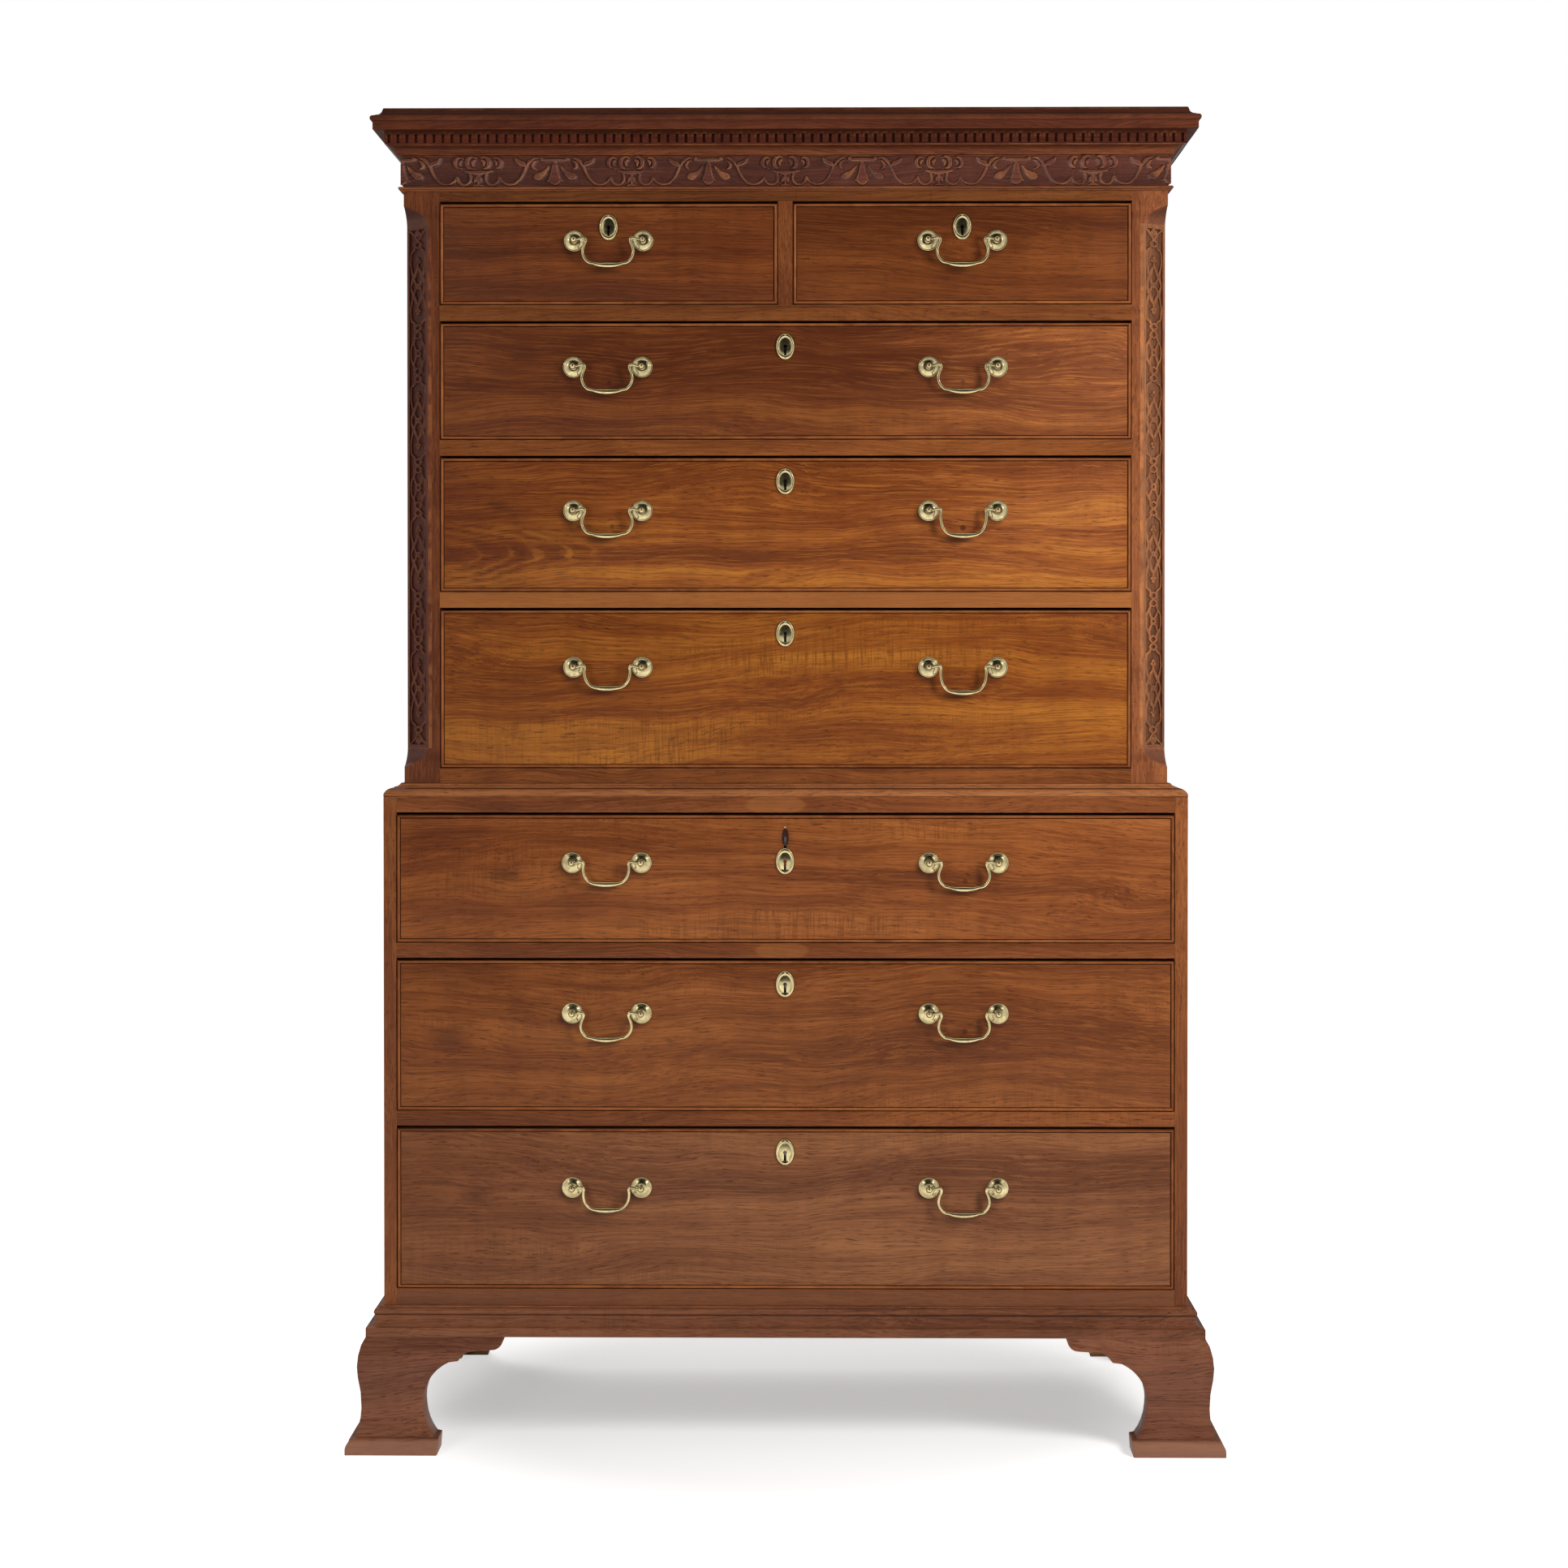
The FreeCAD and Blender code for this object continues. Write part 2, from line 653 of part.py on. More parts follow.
# ---------------------------------------------------------------- upper case
def upper_case():
    bay = (-UPPER_BAY, UPPER_BAY)
    inside = (-SIDE_INNER, SIDE_INNER)
    rails_y = (UPPER_FRONT, UPPER_FRONT + size.rail_depth)
    behind_rail = (UPPER_FRONT + size.rail_depth, INSIDE_BACK)
    behind_post = (UPPER_FRONT + size.post_side, INSIDE_BACK)

    side_y = (UPPER_FRONT + size.post_side, BACK)
    left = box("upper_side_left", (-UPPER_HALF, -SIDE_INNER), side_y, (LOWER_TOP, UNDER_TOP))
    node("upper_sides", [left, mirror("upper_side_right", left)])
    corner_posts()

    foot_y = (UPPER_FRONT, UPPER_FRONT + size.rail_board)
    rails = [box("upper_foot_rail_board", bay, foot_y, (LOWER_TOP, UPPER_FLOOR_4))]
    for number, low, high in (
        (4, UPPER_HEAD_4, UPPER_FLOOR_3),
        (3, UPPER_HEAD_3, UPPER_FLOOR_2),
        (2, UPPER_HEAD_2, UPPER_FLOOR_1),
    ):
        board = box(f"upper_rail_blank_{number}", bay, rails_y, (low, high))
        hole = mortise(f"upper_mortise_{number}", as_size(0), UPPER_FRONT, low)
        rails.append(cut(f"upper_rail_{number}", board, [hole]))
    board = box("upper_rail_blank_1", bay, foot_y, (UPPER_HEAD_1, UNDER_TOP))
    holes = [
        mortise("upper_mortise_left", -SHORT_CENTRE, UPPER_FRONT, UPPER_HEAD_1),
        mortise("upper_mortise_right", SHORT_CENTRE, UPPER_FRONT, UPPER_HEAD_1),
    ]
    rails.append(cut("upper_rail_1", board, holes))
    muntin_z = (UPPER_FLOOR_1, UPPER_HEAD_1)
    rails.append(box("upper_muntin", middle(as_size(0), size.muntin), rails_y, muntin_z))
    node("upper_rails", rails)

    boards = [box("upper_floor_board", bay, (UPPER_FRONT + size.rail_board, INSIDE_BACK),
                  (UPPER_FLOOR_4 - size.case_board, UPPER_FLOOR_4))]
    guide_x = (-SIDE_INNER, -UPPER_BAY)
    for number, floor in ((4, UPPER_FLOOR_4), (3, UPPER_FLOOR_3), (2, UPPER_FLOOR_2), (1, UPPER_FLOOR_1)):
        under = floor - size.dust_board
        if number < 4:
            boards.append(box(f"upper_dust_board_{number}", bay, behind_rail, (under, floor)))
        guide = box(f"upper_guide_{number}", guide_x, behind_post, (under, floor + size.guide_height))
        boards += [guide, mirror(f"upper_guide_{number}_right", guide)]
    centre = middle(as_size(0), size.muntin)
    centre_z = (UPPER_FLOOR_1, UPPER_FLOOR_1 + size.guide_height)
    boards.append(box("upper_centre_guide", centre, behind_rail, centre_z))
    kicker_z = (UPPER_HEAD_1, UPPER_HEAD_1 + size.kicker_height)
    kicker = box("upper_kicker", guide_x, behind_post, kicker_z)
    boards += [kicker, mirror("upper_kicker_right", kicker)]
    behind_foot = (UPPER_FRONT + size.rail_board, INSIDE_BACK)
    boards.append(box("upper_centre_kicker", centre, behind_foot, kicker_z))
    for number, floor in ((4, UPPER_FLOOR_4), (3, UPPER_FLOOR_3), (2, UPPER_FLOOR_2)):
        boards += stops(f"upper_stop_{number}", as_size(0), UPPER_BAY, UPPER_FRONT, floor)
    boards += stops("upper_stop_left", -SHORT_CENTRE, SHORT_BAY, UPPER_FRONT, UPPER_FLOOR_1)
    boards += stops("upper_stop_right", SHORT_CENTRE, SHORT_BAY, UPPER_FRONT, UPPER_FLOOR_1)
    boards.append(box("upper_top_board", (-UPPER_HALF, UPPER_HALF), (UPPER_FRONT, BACK), (UNDER_TOP, TOP)))
    node("upper_boards", boards)
    node("upper_back", [box("upper_back_board", inside, (INSIDE_BACK, BACK), (LOWER_TOP, UNDER_TOP))])


def corner_posts():
    """Posts with a sunk, canted corner that dies out in a tongue at each end."""
    post_x = (-UPPER_HALF, -UPPER_BAY)
    blank = box("post_blank", post_x, (UPPER_FRONT, UPPER_FRONT + size.post_side), (LOWER_TOP, UNDER_TOP))
    deep = size.cant_leg * ROOT_HALF
    low = LOWER_TOP + size.cant_start
    high = FRIEZE_BASE - size.cant_stop
    outside = -5
    hollow = 0.3
    cutter = new_body("post_cant")
    face = [
        (outside, low),
        (0, low),
        (deep, low + size.tongue, deep * (1 - hollow), low + size.tongue * hollow),
        (deep, high - size.tongue),
        (0, high, deep * (1 - hollow), high - size.tongue * hollow),
        (outside, high),
    ]
    pad(cutter, sketch_on(cutter, "XZ_Plane", face), size.cant_leg * 4)
    start = low + size.tongue + size.panel_margin
    end = high - size.tongue - size.panel_margin
    panel = [
        (deep - 1, start),
        (deep + size.panel_sink, start),
        (deep + size.panel_sink, end),
        (deep - 1, end),
    ]
    width = size.cant_leg * 2 * ROOT_HALF - size.panel_margin * 2
    pad(cutter, sketch_on(cutter, "XZ_Plane", panel), width)
    cutter.Placement.Rotation = FreeCAD.Rotation(FreeCAD.Vector(0, 0, 1), 45)
    place(cutter, -UPPER_HALF, UPPER_FRONT, 0)
    left = cut("post_left", blank, [cutter])
    node("corner_posts", [left, mirror("post_right", left)])


def frieze():
    """The applied carved band and the small bead below it."""
    relief = size.frieze_relief
    band = [(0, FRIEZE_BASE), (0, CORNICE_BASE), (relief, CORNICE_BASE), (relief, FRIEZE_BASE)]
    low = FRIEZE_BASE - size.astragal_height
    fillet = size.astragal_reach - 2.5
    fillet_top = low + 1.6
    bead_middle = (size.astragal_reach, low + 3.8)
    astragal = [
        (0, low),
        (0, FRIEZE_BASE),
        (fillet, FRIEZE_BASE),
        (fillet, fillet_top) + bead_middle,
        (fillet, low),
    ]
    spare = as_size(-MITRE_SPARE)
    pieces = moulding("frieze_band", UPPER_HALF, UPPER_FRONT, band, spare, relief + MITRE_SPARE)
    outer = size.astragal_reach + MITRE_SPARE
    pieces += moulding("astragal", UPPER_HALF, UPPER_FRONT, astragal, spare, outer)
    node("frieze", pieces)


# ---------------------------------------------------------------- cornice
def cornice():
    """Cove, dentil course and crown, each in three mitred runs."""
    base = CORNICE_BASE
    spare = as_size(-MITRE_SPARE)
    dentil_low = base + size.dentil_base
    crown_low = base + size.corona_base
    ledge = 1.5
    cove_foot = 8
    cove_middle = (11, base + 8)
    cove = [
        (0, base),
        (0, dentil_low),
        (size.cove_reach + ledge, dentil_low),
        (size.cove_reach + ledge, dentil_low - ledge),
        (size.cove_reach, base + size.cove_height),
        (cove_foot, base + ledge) + cove_middle,
        (cove_foot, base),
    ]
    drip = size.corona_reach
    tip = size.cornice_reach
    crown_high = crown_low + size.corona_height
    top_edge = tip - 17
    hollow_start = (tip - 15.5, TOP - 3)
    hollow_end = (tip - 8, TOP - 10.5)
    hollow_middle = (tip - 13, TOP - 8)
    nose_start = (tip - 5, TOP - 12)
    nose_end = (tip - 2.5, crown_high + ledge)
    nose_middle = (tip, TOP - 16.5)
    crown = [
        (0, crown_low),
        (0, TOP),
        (top_edge, TOP),
        hollow_start,
        hollow_end + hollow_middle,
        nose_start,
        nose_end + nose_middle,
        (drip, crown_high),
        (drip, crown_low),
    ]
    strip = [
        (0, dentil_low),
        (0, crown_low),
        (size.dentil_reach, crown_low),
        (size.dentil_reach, dentil_low),
    ]
    outer = size.cove_reach + ledge + MITRE_SPARE
    pieces = moulding("cove", UPPER_HALF, UPPER_FRONT, cove, spare, outer)
    pieces += moulding("crown", UPPER_HALF, UPPER_FRONT, crown, spare, tip + MITRE_SPARE)
    reach = size.dentil_reach + MITRE_SPARE
    front = front_run("dentil_front_blank", UPPER_HALF, UPPER_FRONT, strip, spare, reach)
    side = side_run("dentil_side_blank", UPPER_HALF, UPPER_FRONT, strip, spare, reach)
    left = cut("dentil_left_run", side, [dentil_slots("dentil_side_slots", False)])
    pieces.append(cut("dentil_front_run", front, [dentil_slots("dentil_front_slots", True)]))
    pieces += [left, mirror("dentil_right_run", left)]
    node("cornice", pieces)


def dentil_slots(label, across_front):
    """The row of saw cuts that leaves the dentils standing."""
    face = UPPER_FRONT.value - size.dentil_reach.value
    edge = UPPER_HALF.value + size.dentil_reach.value
    length = edge * 2 if across_front else BACK.value - face
    count = int(length // size.dentil_pitch.value)
    pitch = length / count
    low = CORNICE_BASE.value + size.dentil_base.value + size.dentil_foot.value
    high = CORNICE_BASE.value + size.corona_base.value - size.dentil_foot.value
    gap = size.dentil_gap.value
    deep = size.dentil_cut.value
    slots = []
    for number in range(1, count):
        along = number * pitch - gap / 2
        if across_front:
            corner = FreeCAD.Vector(along - edge, face - 1, low)
            slots.append(Part.makeBox(gap, deep + 1, high - low, corner))
        else:
            corner = FreeCAD.Vector(-edge - 1, face + along, low)
            slots.append(Part.makeBox(deep + 1, gap, high - low, corner))
    row = doc.addObject("Part::Feature", label)
    row.Shape = Part.makeCompound(slots)
    return row


# ---------------------------------------------------------------- fittings
def keyhole(label, y_span):
    """A round hole with a slot below it."""
    radius = size.keyhole_radius
    low, high = y_span
    eye = rod(f"{label}_eye", radius, high - low, (0, 1, 0), 0, low, 0)
    slot = box(f"{label}_slot", middle(as_size(0), size.keyhole_slot), y_span, (-size.keyhole_length, 0))
    return [eye, slot]


def handle_set():
    """Two roses, each with a ball-headed post through it and a nut behind."""
    side = size.handle_centres / 2
    rose = new_body("rose_master")
    rim = size.rose_radius
    hole = size.shank_radius + size.shank_fit
    dome_foot = (rim - 1.6, -size.rose_rim - 0.6)
    dome_middle = (rim * 0.66, -size.rose_rise + 0.9)
    flat = 5.5
    section = [
        (hole, 0),
        (rim, 0),
        (rim, -size.rose_rim),
        dome_foot,
        (flat, -size.rose_rise) + dome_middle,
        (hole, -size.rose_rise),
    ]
    turn = rose.newObject("PartDesign::Revolution", "rose_turn")
    profile = sketch_on(rose, "XY_Plane", section)
    turn.Profile = profile
    turn.ReferenceAxis = (profile, ["V_Axis"])
    turn.Angle = 360

    past_nut = 2
    shank_end = size.drawer_front + size.nut_height + past_nut
    shank_length = size.post_reach + shank_end
    shank = rod("post_shank", size.shank_radius, shank_length, (0, 1, 0), 0, -size.post_reach, 0)
    ball = doc.addObject("Part::Sphere", "post_ball")
    bind(ball, "Radius", size.ball_radius)
    place(ball, 0, -size.post_reach, 0)
    solid = fuse("post_solid", [shank, ball])
    pin_hole = size.pin_radius + size.pin_fit
    bore = rod("post_bore", pin_hole, size.ball_radius * 2, (1, 0, 0), 0, -size.post_reach, 0)
    post = cut("post_master", solid, [bore])
    nut_y = (size.drawer_front, size.drawer_front + size.nut_height)
    across = middle(as_size(0), size.nut_side)
    nut_blank = box("nut_blank", across, nut_y, across)
    before_nut = size.drawer_front - size.nut_height / 2
    nut_hole = rod("nut_hole", hole, size.nut_height * 2, (0, 1, 0), 0, before_nut, 0)
    nut = cut("nut_master", nut_blank, [nut_hole])

    half = group("handle_half", [rose, post, nut])
    left = link("handle_left_half", half, -side, 0, 0)
    right = link("handle_right_half", mirror("handle_half_turned", half), side, 0, 0)
    return group("handle_set_master", [left, right])


def escutcheon():
    """A domed oval plate with a keyhole and a pin head above and below."""
    dome = doc.addObject("Part::Ellipsoid", "escutcheon_dome")
    bind(dome, "Radius1", size.escutcheon_height / 2)
    bind(dome, "Radius2", size.escutcheon_width / 2)
    bind(dome, "Radius3", size.escutcheon_rise)
    room = size.escutcheon_height
    both_ways = middle(as_size(0), room * 2)
    behind = box("escutcheon_behind", both_ways, (as_size(0), room), both_ways)
    hole = keyhole("escutcheon_key", (-size.escutcheon_rise * 2, size.escutcheon_rise))
    plate = cut("escutcheon_plate", dome, [behind] + hole)
    radius = size.escutcheon_pin
    clear = 0.1
    heads = []
    for side in (-1, 1):
        height = side * (size.escutcheon_height / 2 + radius + clear)
        heads.append(rod(f"escutcheon_pin_{side + 1}", radius, radius, (0, 1, 0), 0, -radius, height))
    return group("escutcheon_master", [plate] + heads)


def lock_case():
    """A lock let into the back of the drawer front, its bolt channel open above.

    The origin is the keyhole's eye at the drawer's front face."""
    top = size.lock_drop - size.cockbead
    body = box("lock_blank", middle(as_size(0), size.lock_width),
               (size.drawer_front - size.lock_depth, size.drawer_front), (top - size.lock_height, top))
    bolt_back = size.drawer_front - size.bolt_gap
    channel_y = (bolt_back - size.bolt_depth - size.bolt_gap, bolt_back + size.bolt_gap * 2)
    low = size.lock_drop - size.bolt_height
    channel_x = middle(as_size(0), size.bolt_width + size.bolt_gap * 2)
    channel = box("lock_channel", channel_x, channel_y, (low, top + 1))
    lock_front = size.drawer_front - size.lock_depth
    key = keyhole("lock_key", (lock_front - 1, lock_front + size.lock_depth / 2))
    return cut("lock_master", body, [channel] + key)


def bail_shape(drop):
    """A swan-necked bail: pins, tangent-arc arms and a swelling grip."""
    side = size.handle_centres.value / 2
    pin = size.pin_radius.value
    arm = size.bail_radius.value
    pin_end = side - 0.6
    arm_start = side - size.ball_radius.value
    neck = side - 15.2
    swan_out = neck + (drop - 20) * 0.38
    swan_low = -0.61 * drop
    grip_end = neck - 2.2
    neck_bend, swan_bend, grip_bend = 5, 15, 10
    bends = [
        (arm_start, 0, 0),
        (neck, 0, neck_bend),
        (swan_out, swan_low, swan_bend),
        (grip_end, -drop, grip_bend),
        (0, -drop, 0),
    ]
    path, grip_start = rounded_path(bends)
    start = FreeCAD.Vector(arm_start, 0, 0)
    outward = FreeCAD.Vector(1, 0, 0)
    quarters = [Part.makeCircle(arm, start, outward, turn, turn + 90) for turn in (0, 90, 180, 270)]
    swan_arm = path.makePipeShell([Part.Wire(quarters)], True, False)
    pin_start = FreeCAD.Vector(arm_start - arm, 0, 0)
    swan_arm = swan_arm.fuse(Part.makeCylinder(pin, pin_end - arm_start + arm, pin_start, outward))
    other_arm = swan_arm.mirror(FreeCAD.Vector(), outward)
    return grip(grip_start, drop, arm).fuse([swan_arm, other_arm]).Solids[0]


def grip(half, drop, end_radius):
    """The swelling part that the fingers hold, turned about its own length."""
    left = FreeCAD.Vector(-half, 0, end_radius - drop)
    right = FreeCAD.Vector(half, 0, end_radius - drop)
    top = FreeCAD.Vector(0, 0, size.grip_radius.value - drop)
    axis_left = FreeCAD.Vector(-half, 0, -drop)
    axis_right = FreeCAD.Vector(half, 0, -drop)
    edges = [
        Part.Arc(left, top, right).toShape(),
        Part.LineSegment(right, axis_right).toShape(),
        Part.LineSegment(axis_right, axis_left).toShape(),
        Part.LineSegment(axis_left, left).toShape(),
    ]
    along = FreeCAD.Vector(1, 0, 0)
    quarter = Part.Face(Part.Wire(edges)).revolve(axis_left, along, 90)
    turned_quarters = [quarter.copy().rotate(axis_left, along, turn) for turn in (90, 180, 270)]
    return quarter.fuse(turned_quarters)


def rounded_path(bends):
    """Straight runs joined by tangent arcs in the XZ plane, and where the last one ends."""
    points = [FreeCAD.Vector(x, 0, z) for x, z, radius in bends]
    edges = []
    last = points[0]
    for number in range(1, len(points) - 1):
        before = (points[number - 1] - points[number]).normalize()
        after = (points[number + 1] - points[number]).normalize()
        radius = bends[number][2]
        half_angle = before.getAngle(after) / 2
        reach = radius / math.tan(half_angle)
        arc_start = points[number] + before * reach
        arc_end = points[number] + after * reach
        inward = (before + after).normalize()
        arc_middle = points[number] + inward * (radius / math.sin(half_angle) - radius)
        edges.append(Part.LineSegment(last, arc_start).toShape())
        edges.append(Part.Arc(arc_start, arc_middle, arc_end).toShape())
        last = arc_end
    return Part.Wire(edges), last.x


# ---------------------------------------------------------------- drawers
def cockbead_strip(label, length, turn, where):
    """A mitred bead strip with a rounded front, laid along one edge."""
    wide = size.cockbead
    wedge = doc.addObject("Part::Wedge", f"{label}_blank")
    bind(wedge, "Xmin", -length / 2)
    bind(wedge, "Xmax", length / 2)
    bind(wedge, "X2min", wide - length / 2)
    bind(wedge, "X2max", length / 2 - wide)
    wedge.Ymin = 0
    bind(wedge, "Ymax", wide)
    depth = size.drawer_front + size.cockbead_proud
    for low, high in (("Zmin", "Zmax"), ("Z2min", "Z2max")):
        setattr(wedge, low, 0)
        bind(wedge, high, depth)
    doc.recompute()
    rounded = doc.addObject("Part::Fillet", label)
    rounded.Base = wedge
    nearly_half = 0.47
    radius = nearly_half * size.cockbead.value
    front_edges = []
    for number, edge in enumerate(wedge.Shape.Edges, start=1):
        on_front = edge.BoundBox.ZMin > depth.value - 0.01
        lengthwise = edge.BoundBox.XLength > 2 * wide.value and edge.BoundBox.YLength < 0.01
        if on_front and lengthwise:
            front_edges.append((number, radius, radius))
    rounded.Edges = front_edges
    stand = FreeCAD.Rotation(FreeCAD.Vector(1, 0, 0), 90)
    rounded.Placement.Rotation = FreeCAD.Rotation(FreeCAD.Vector(0, 1, 0), turn) * stand
    return place(rounded, *where)


def drawer(name, centre, half_bay, face, floor, head, rose_drop, handles, masters, slip=0):
    """A drawer with its front, box, fittings, bolt and bails."""
    half = half_bay - size.side_gap
    low = floor + size.foot_gap
    high = head - size.head_gap
    back_of_front = face + size.drawer_front
    eye = high - size.lock_drop
    bead = size.cockbead
    handle_z = high - rose_drop

    # The front: a board with a bead strip glued round it.
    blank = box(f"{name}_front_blank", (centre - half + bead, centre + half - bead), (face, back_of_front),
                (low + bead, high - bead))
    lock_z = (eye + size.lock_drop - bead - size.lock_height, high)
    recess = box(f"{name}_lock_recess", middle(centre, size.lock_width),
                 (back_of_front - size.lock_depth, back_of_front + 1), lock_z)
    key = link(f"{name}_keyhole", masters.keyhole, centre, face, eye)
    bores = []
    bore_radius = size.shank_radius + size.shank_fit * 2
    before_face = face - size.drawer_front / 2
    for number, (offset, drop) in enumerate(handles):
        for side in (-1, 1):
            bores.append(rod(f"{name}_bore_{number}_{side + 1}", bore_radius, size.drawer_front * 2,
                             (0, 1, 0), offset + side * size.handle_centres / 2, before_face, handle_z))
    front = cut(f"{name}_front_board", blank, [recess, key] + bores)
    mid = (low + high) / 2
    top = cockbead_strip(f"{name}_bead_top_strip", half * 2, 180, (centre, back_of_front, high))
    bolt_back = back_of_front - size.bolt_gap
    slot_y = (bolt_back - size.bolt_depth - size.bolt_gap, bolt_back + size.bolt_gap * 2)
    slot = box(f"{name}_bolt_slot", middle(centre, size.bolt_width + size.bolt_gap * 2), slot_y,
               (high - bead * 2, high + 1))
    beads = [
        cut(f"{name}_bead_top", top, [slot]),
        cockbead_strip(f"{name}_bead_bottom", half * 2, 0, (centre, back_of_front, low)),
        cockbead_strip(f"{name}_bead_left", high - low, 90, (centre - half, back_of_front, mid)),
        cockbead_strip(f"{name}_bead_right", high - low, -90, (centre + half, back_of_front, mid)),
    ]
    node(f"{name}_drawer_front", [front] + beads)

    # The box behind it.
    end = INSIDE_BACK - size.back_gap
    under = floor + size.runner_gap
    side_top = high - size.side_drop
    side_x = (centre - half, centre - half + size.drawer_side)
    inner = (side_x[1], centre + half - size.drawer_side)
    bottom_z = (under + size.bottom_lift, under + size.bottom_lift + size.drawer_bottom)
    box_pieces = [
        box(f"{name}_side_left", side_x, (back_of_front, end), (under, side_top)),
        box(f"{name}_side_right", (inner[1], centre + half), (back_of_front, end), (under, side_top)),
        box(f"{name}_back", inner, (end - size.drawer_back, end), (bottom_z[1], side_top - size.back_drop)),
        box(f"{name}_bottom", inner, (back_of_front, end), bottom_z),
    ]
    node(f"{name}_drawer_box", box_pieces)

    # Brass and iron on the front.
    fittings = [link(f"{name}_lock", masters.lock, centre, face, eye)]
    fittings.append(link(f"{name}_escutcheon", masters.escutcheon, centre, face, eye - slip))
    for number, (offset, drop) in enumerate(handles):
        fittings.append(link(f"{name}_handle_{number}", masters.handle, offset, face, handle_z))
    node(f"{name}_drawer_fittings", fittings)
    bolt = box(f"{name}_bolt", middle(centre, size.bolt_width), (bolt_back - size.bolt_depth, bolt_back),
               (high - size.bolt_height, high))
    node(f"{name}_lock_bolt", [bolt])
    words = ("_bail",) if len(handles) == 1 else ("_bail_left", "_bail_right")
    for word, (offset, drop) in zip(words, handles):
        bail = doc.addObject("Part::Feature", f"{name}{word}")
        bail.Shape = masters.bails[drop].copy()
        node(f"{name}{word}", [place(bail, offset, face - size.post_reach, handle_z)])


def drawers():
    masters = SimpleNamespace(
        handle=handle_set(),
        escutcheon=escutcheon(),
        lock=lock_case(),
        keyhole=group("keyhole_master", keyhole("front_key", (as_size(-1), size.drawer_front + 1))),
        bails={
            "deep": bail_shape(size.bail_drop_deep.value),
            "shallow": bail_shape(size.bail_drop_shallow.value),
        },
    )
    left, right = -size.handle_offset, size.handle_offset
    both_deep = [(left, "deep"), (right, "deep")]
    left_shallow = [(left, "shallow"), (right, "deep")]
    for name, side in (("short_left", -1), ("short_right", 1)):
        drawer(name, side * SHORT_CENTRE, SHORT_BAY, UPPER_FRONT, UPPER_FLOOR_1, UPPER_HEAD_1,
               size.rose_drop_short, [(side * SHORT_CENTRE, "deep")], masters)
    for name, floor, head, drop, handles in (
        ("upper_2", UPPER_FLOOR_2, UPPER_HEAD_2, size.rose_drop_upper_2, both_deep),
        ("upper_3", UPPER_FLOOR_3, UPPER_HEAD_3, size.rose_drop_upper_3, both_deep),
        ("upper_4", UPPER_FLOOR_4, UPPER_HEAD_4, size.rose_drop_upper_4, left_shallow),
    ):
        drawer(name, as_size(0), UPPER_BAY, UPPER_FRONT, floor, head, drop, handles, masters)
    slipped = size.escutcheon_slip
    for name, floor, head, drop, handles, slip in (
        ("lower_1", LOWER_FLOOR_1, LOWER_HEAD_1, size.rose_drop_lower_1, left_shallow, slipped),
        ("lower_2", LOWER_FLOOR_2, LOWER_HEAD_2, size.rose_drop_lower_2, both_deep, 0),
        ("lower_3", LOWER_FLOOR_3, LOWER_HEAD_3, size.rose_drop_lower_3, left_shallow, 0),
    ):
        drawer(name, as_size(0), LOWER_BAY, FRONT, floor, head, drop, handles, masters, slip)


# ---------------------------------------------------------------- build
def check_objects():
    """Stop if any object failed or any sub-part has no good shape."""
    for thing in doc.Objects:
        if "Invalid" in thing.State or "Error" in thing.State:
            raise RuntimeError(f"{thing.Label} is {thing.State}")
    for part in nodes:
        shape = part.Shape
        if shape.isNull() or not shape.isValid() or not shape.Solids:
            raise RuntimeError(f"{part.Label} has no valid solid")


def write_steps():
    os.makedirs("parts", exist_ok=True)
    for part in nodes:
        part.Shape.exportStep(os.path.join("parts", f"{part.Label}.step"))


lower_case()
waist_moulding()
base_moulding()
bracket_feet()
upper_case()
frieze()
cornice()
drawers()
doc.recompute()
check_objects()
write_steps()
print(f"{len(nodes)} nodes, {sum(len(part.Shape.Solids) for part in nodes)} solids")
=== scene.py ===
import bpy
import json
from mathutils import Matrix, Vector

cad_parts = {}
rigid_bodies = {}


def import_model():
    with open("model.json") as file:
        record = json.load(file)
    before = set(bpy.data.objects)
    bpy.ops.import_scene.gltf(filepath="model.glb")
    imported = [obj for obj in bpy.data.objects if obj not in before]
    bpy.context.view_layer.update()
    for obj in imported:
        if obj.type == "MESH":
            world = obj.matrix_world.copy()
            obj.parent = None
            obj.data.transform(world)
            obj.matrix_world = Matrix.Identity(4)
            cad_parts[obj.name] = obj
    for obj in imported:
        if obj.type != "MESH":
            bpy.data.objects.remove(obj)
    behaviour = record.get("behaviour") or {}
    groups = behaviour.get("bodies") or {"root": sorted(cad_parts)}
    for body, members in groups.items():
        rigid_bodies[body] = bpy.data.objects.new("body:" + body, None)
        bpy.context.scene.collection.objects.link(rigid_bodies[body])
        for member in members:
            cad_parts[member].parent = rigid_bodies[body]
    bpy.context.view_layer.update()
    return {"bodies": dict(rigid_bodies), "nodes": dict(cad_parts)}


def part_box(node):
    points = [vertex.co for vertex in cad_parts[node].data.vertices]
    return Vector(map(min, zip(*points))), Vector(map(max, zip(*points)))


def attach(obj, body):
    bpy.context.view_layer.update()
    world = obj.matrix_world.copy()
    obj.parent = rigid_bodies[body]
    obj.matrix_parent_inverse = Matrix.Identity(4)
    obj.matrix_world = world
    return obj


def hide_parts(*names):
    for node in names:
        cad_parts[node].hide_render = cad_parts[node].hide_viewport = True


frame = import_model()

import json
import math
from collections import namedtuple

import bmesh
import bpy
import numpy as np

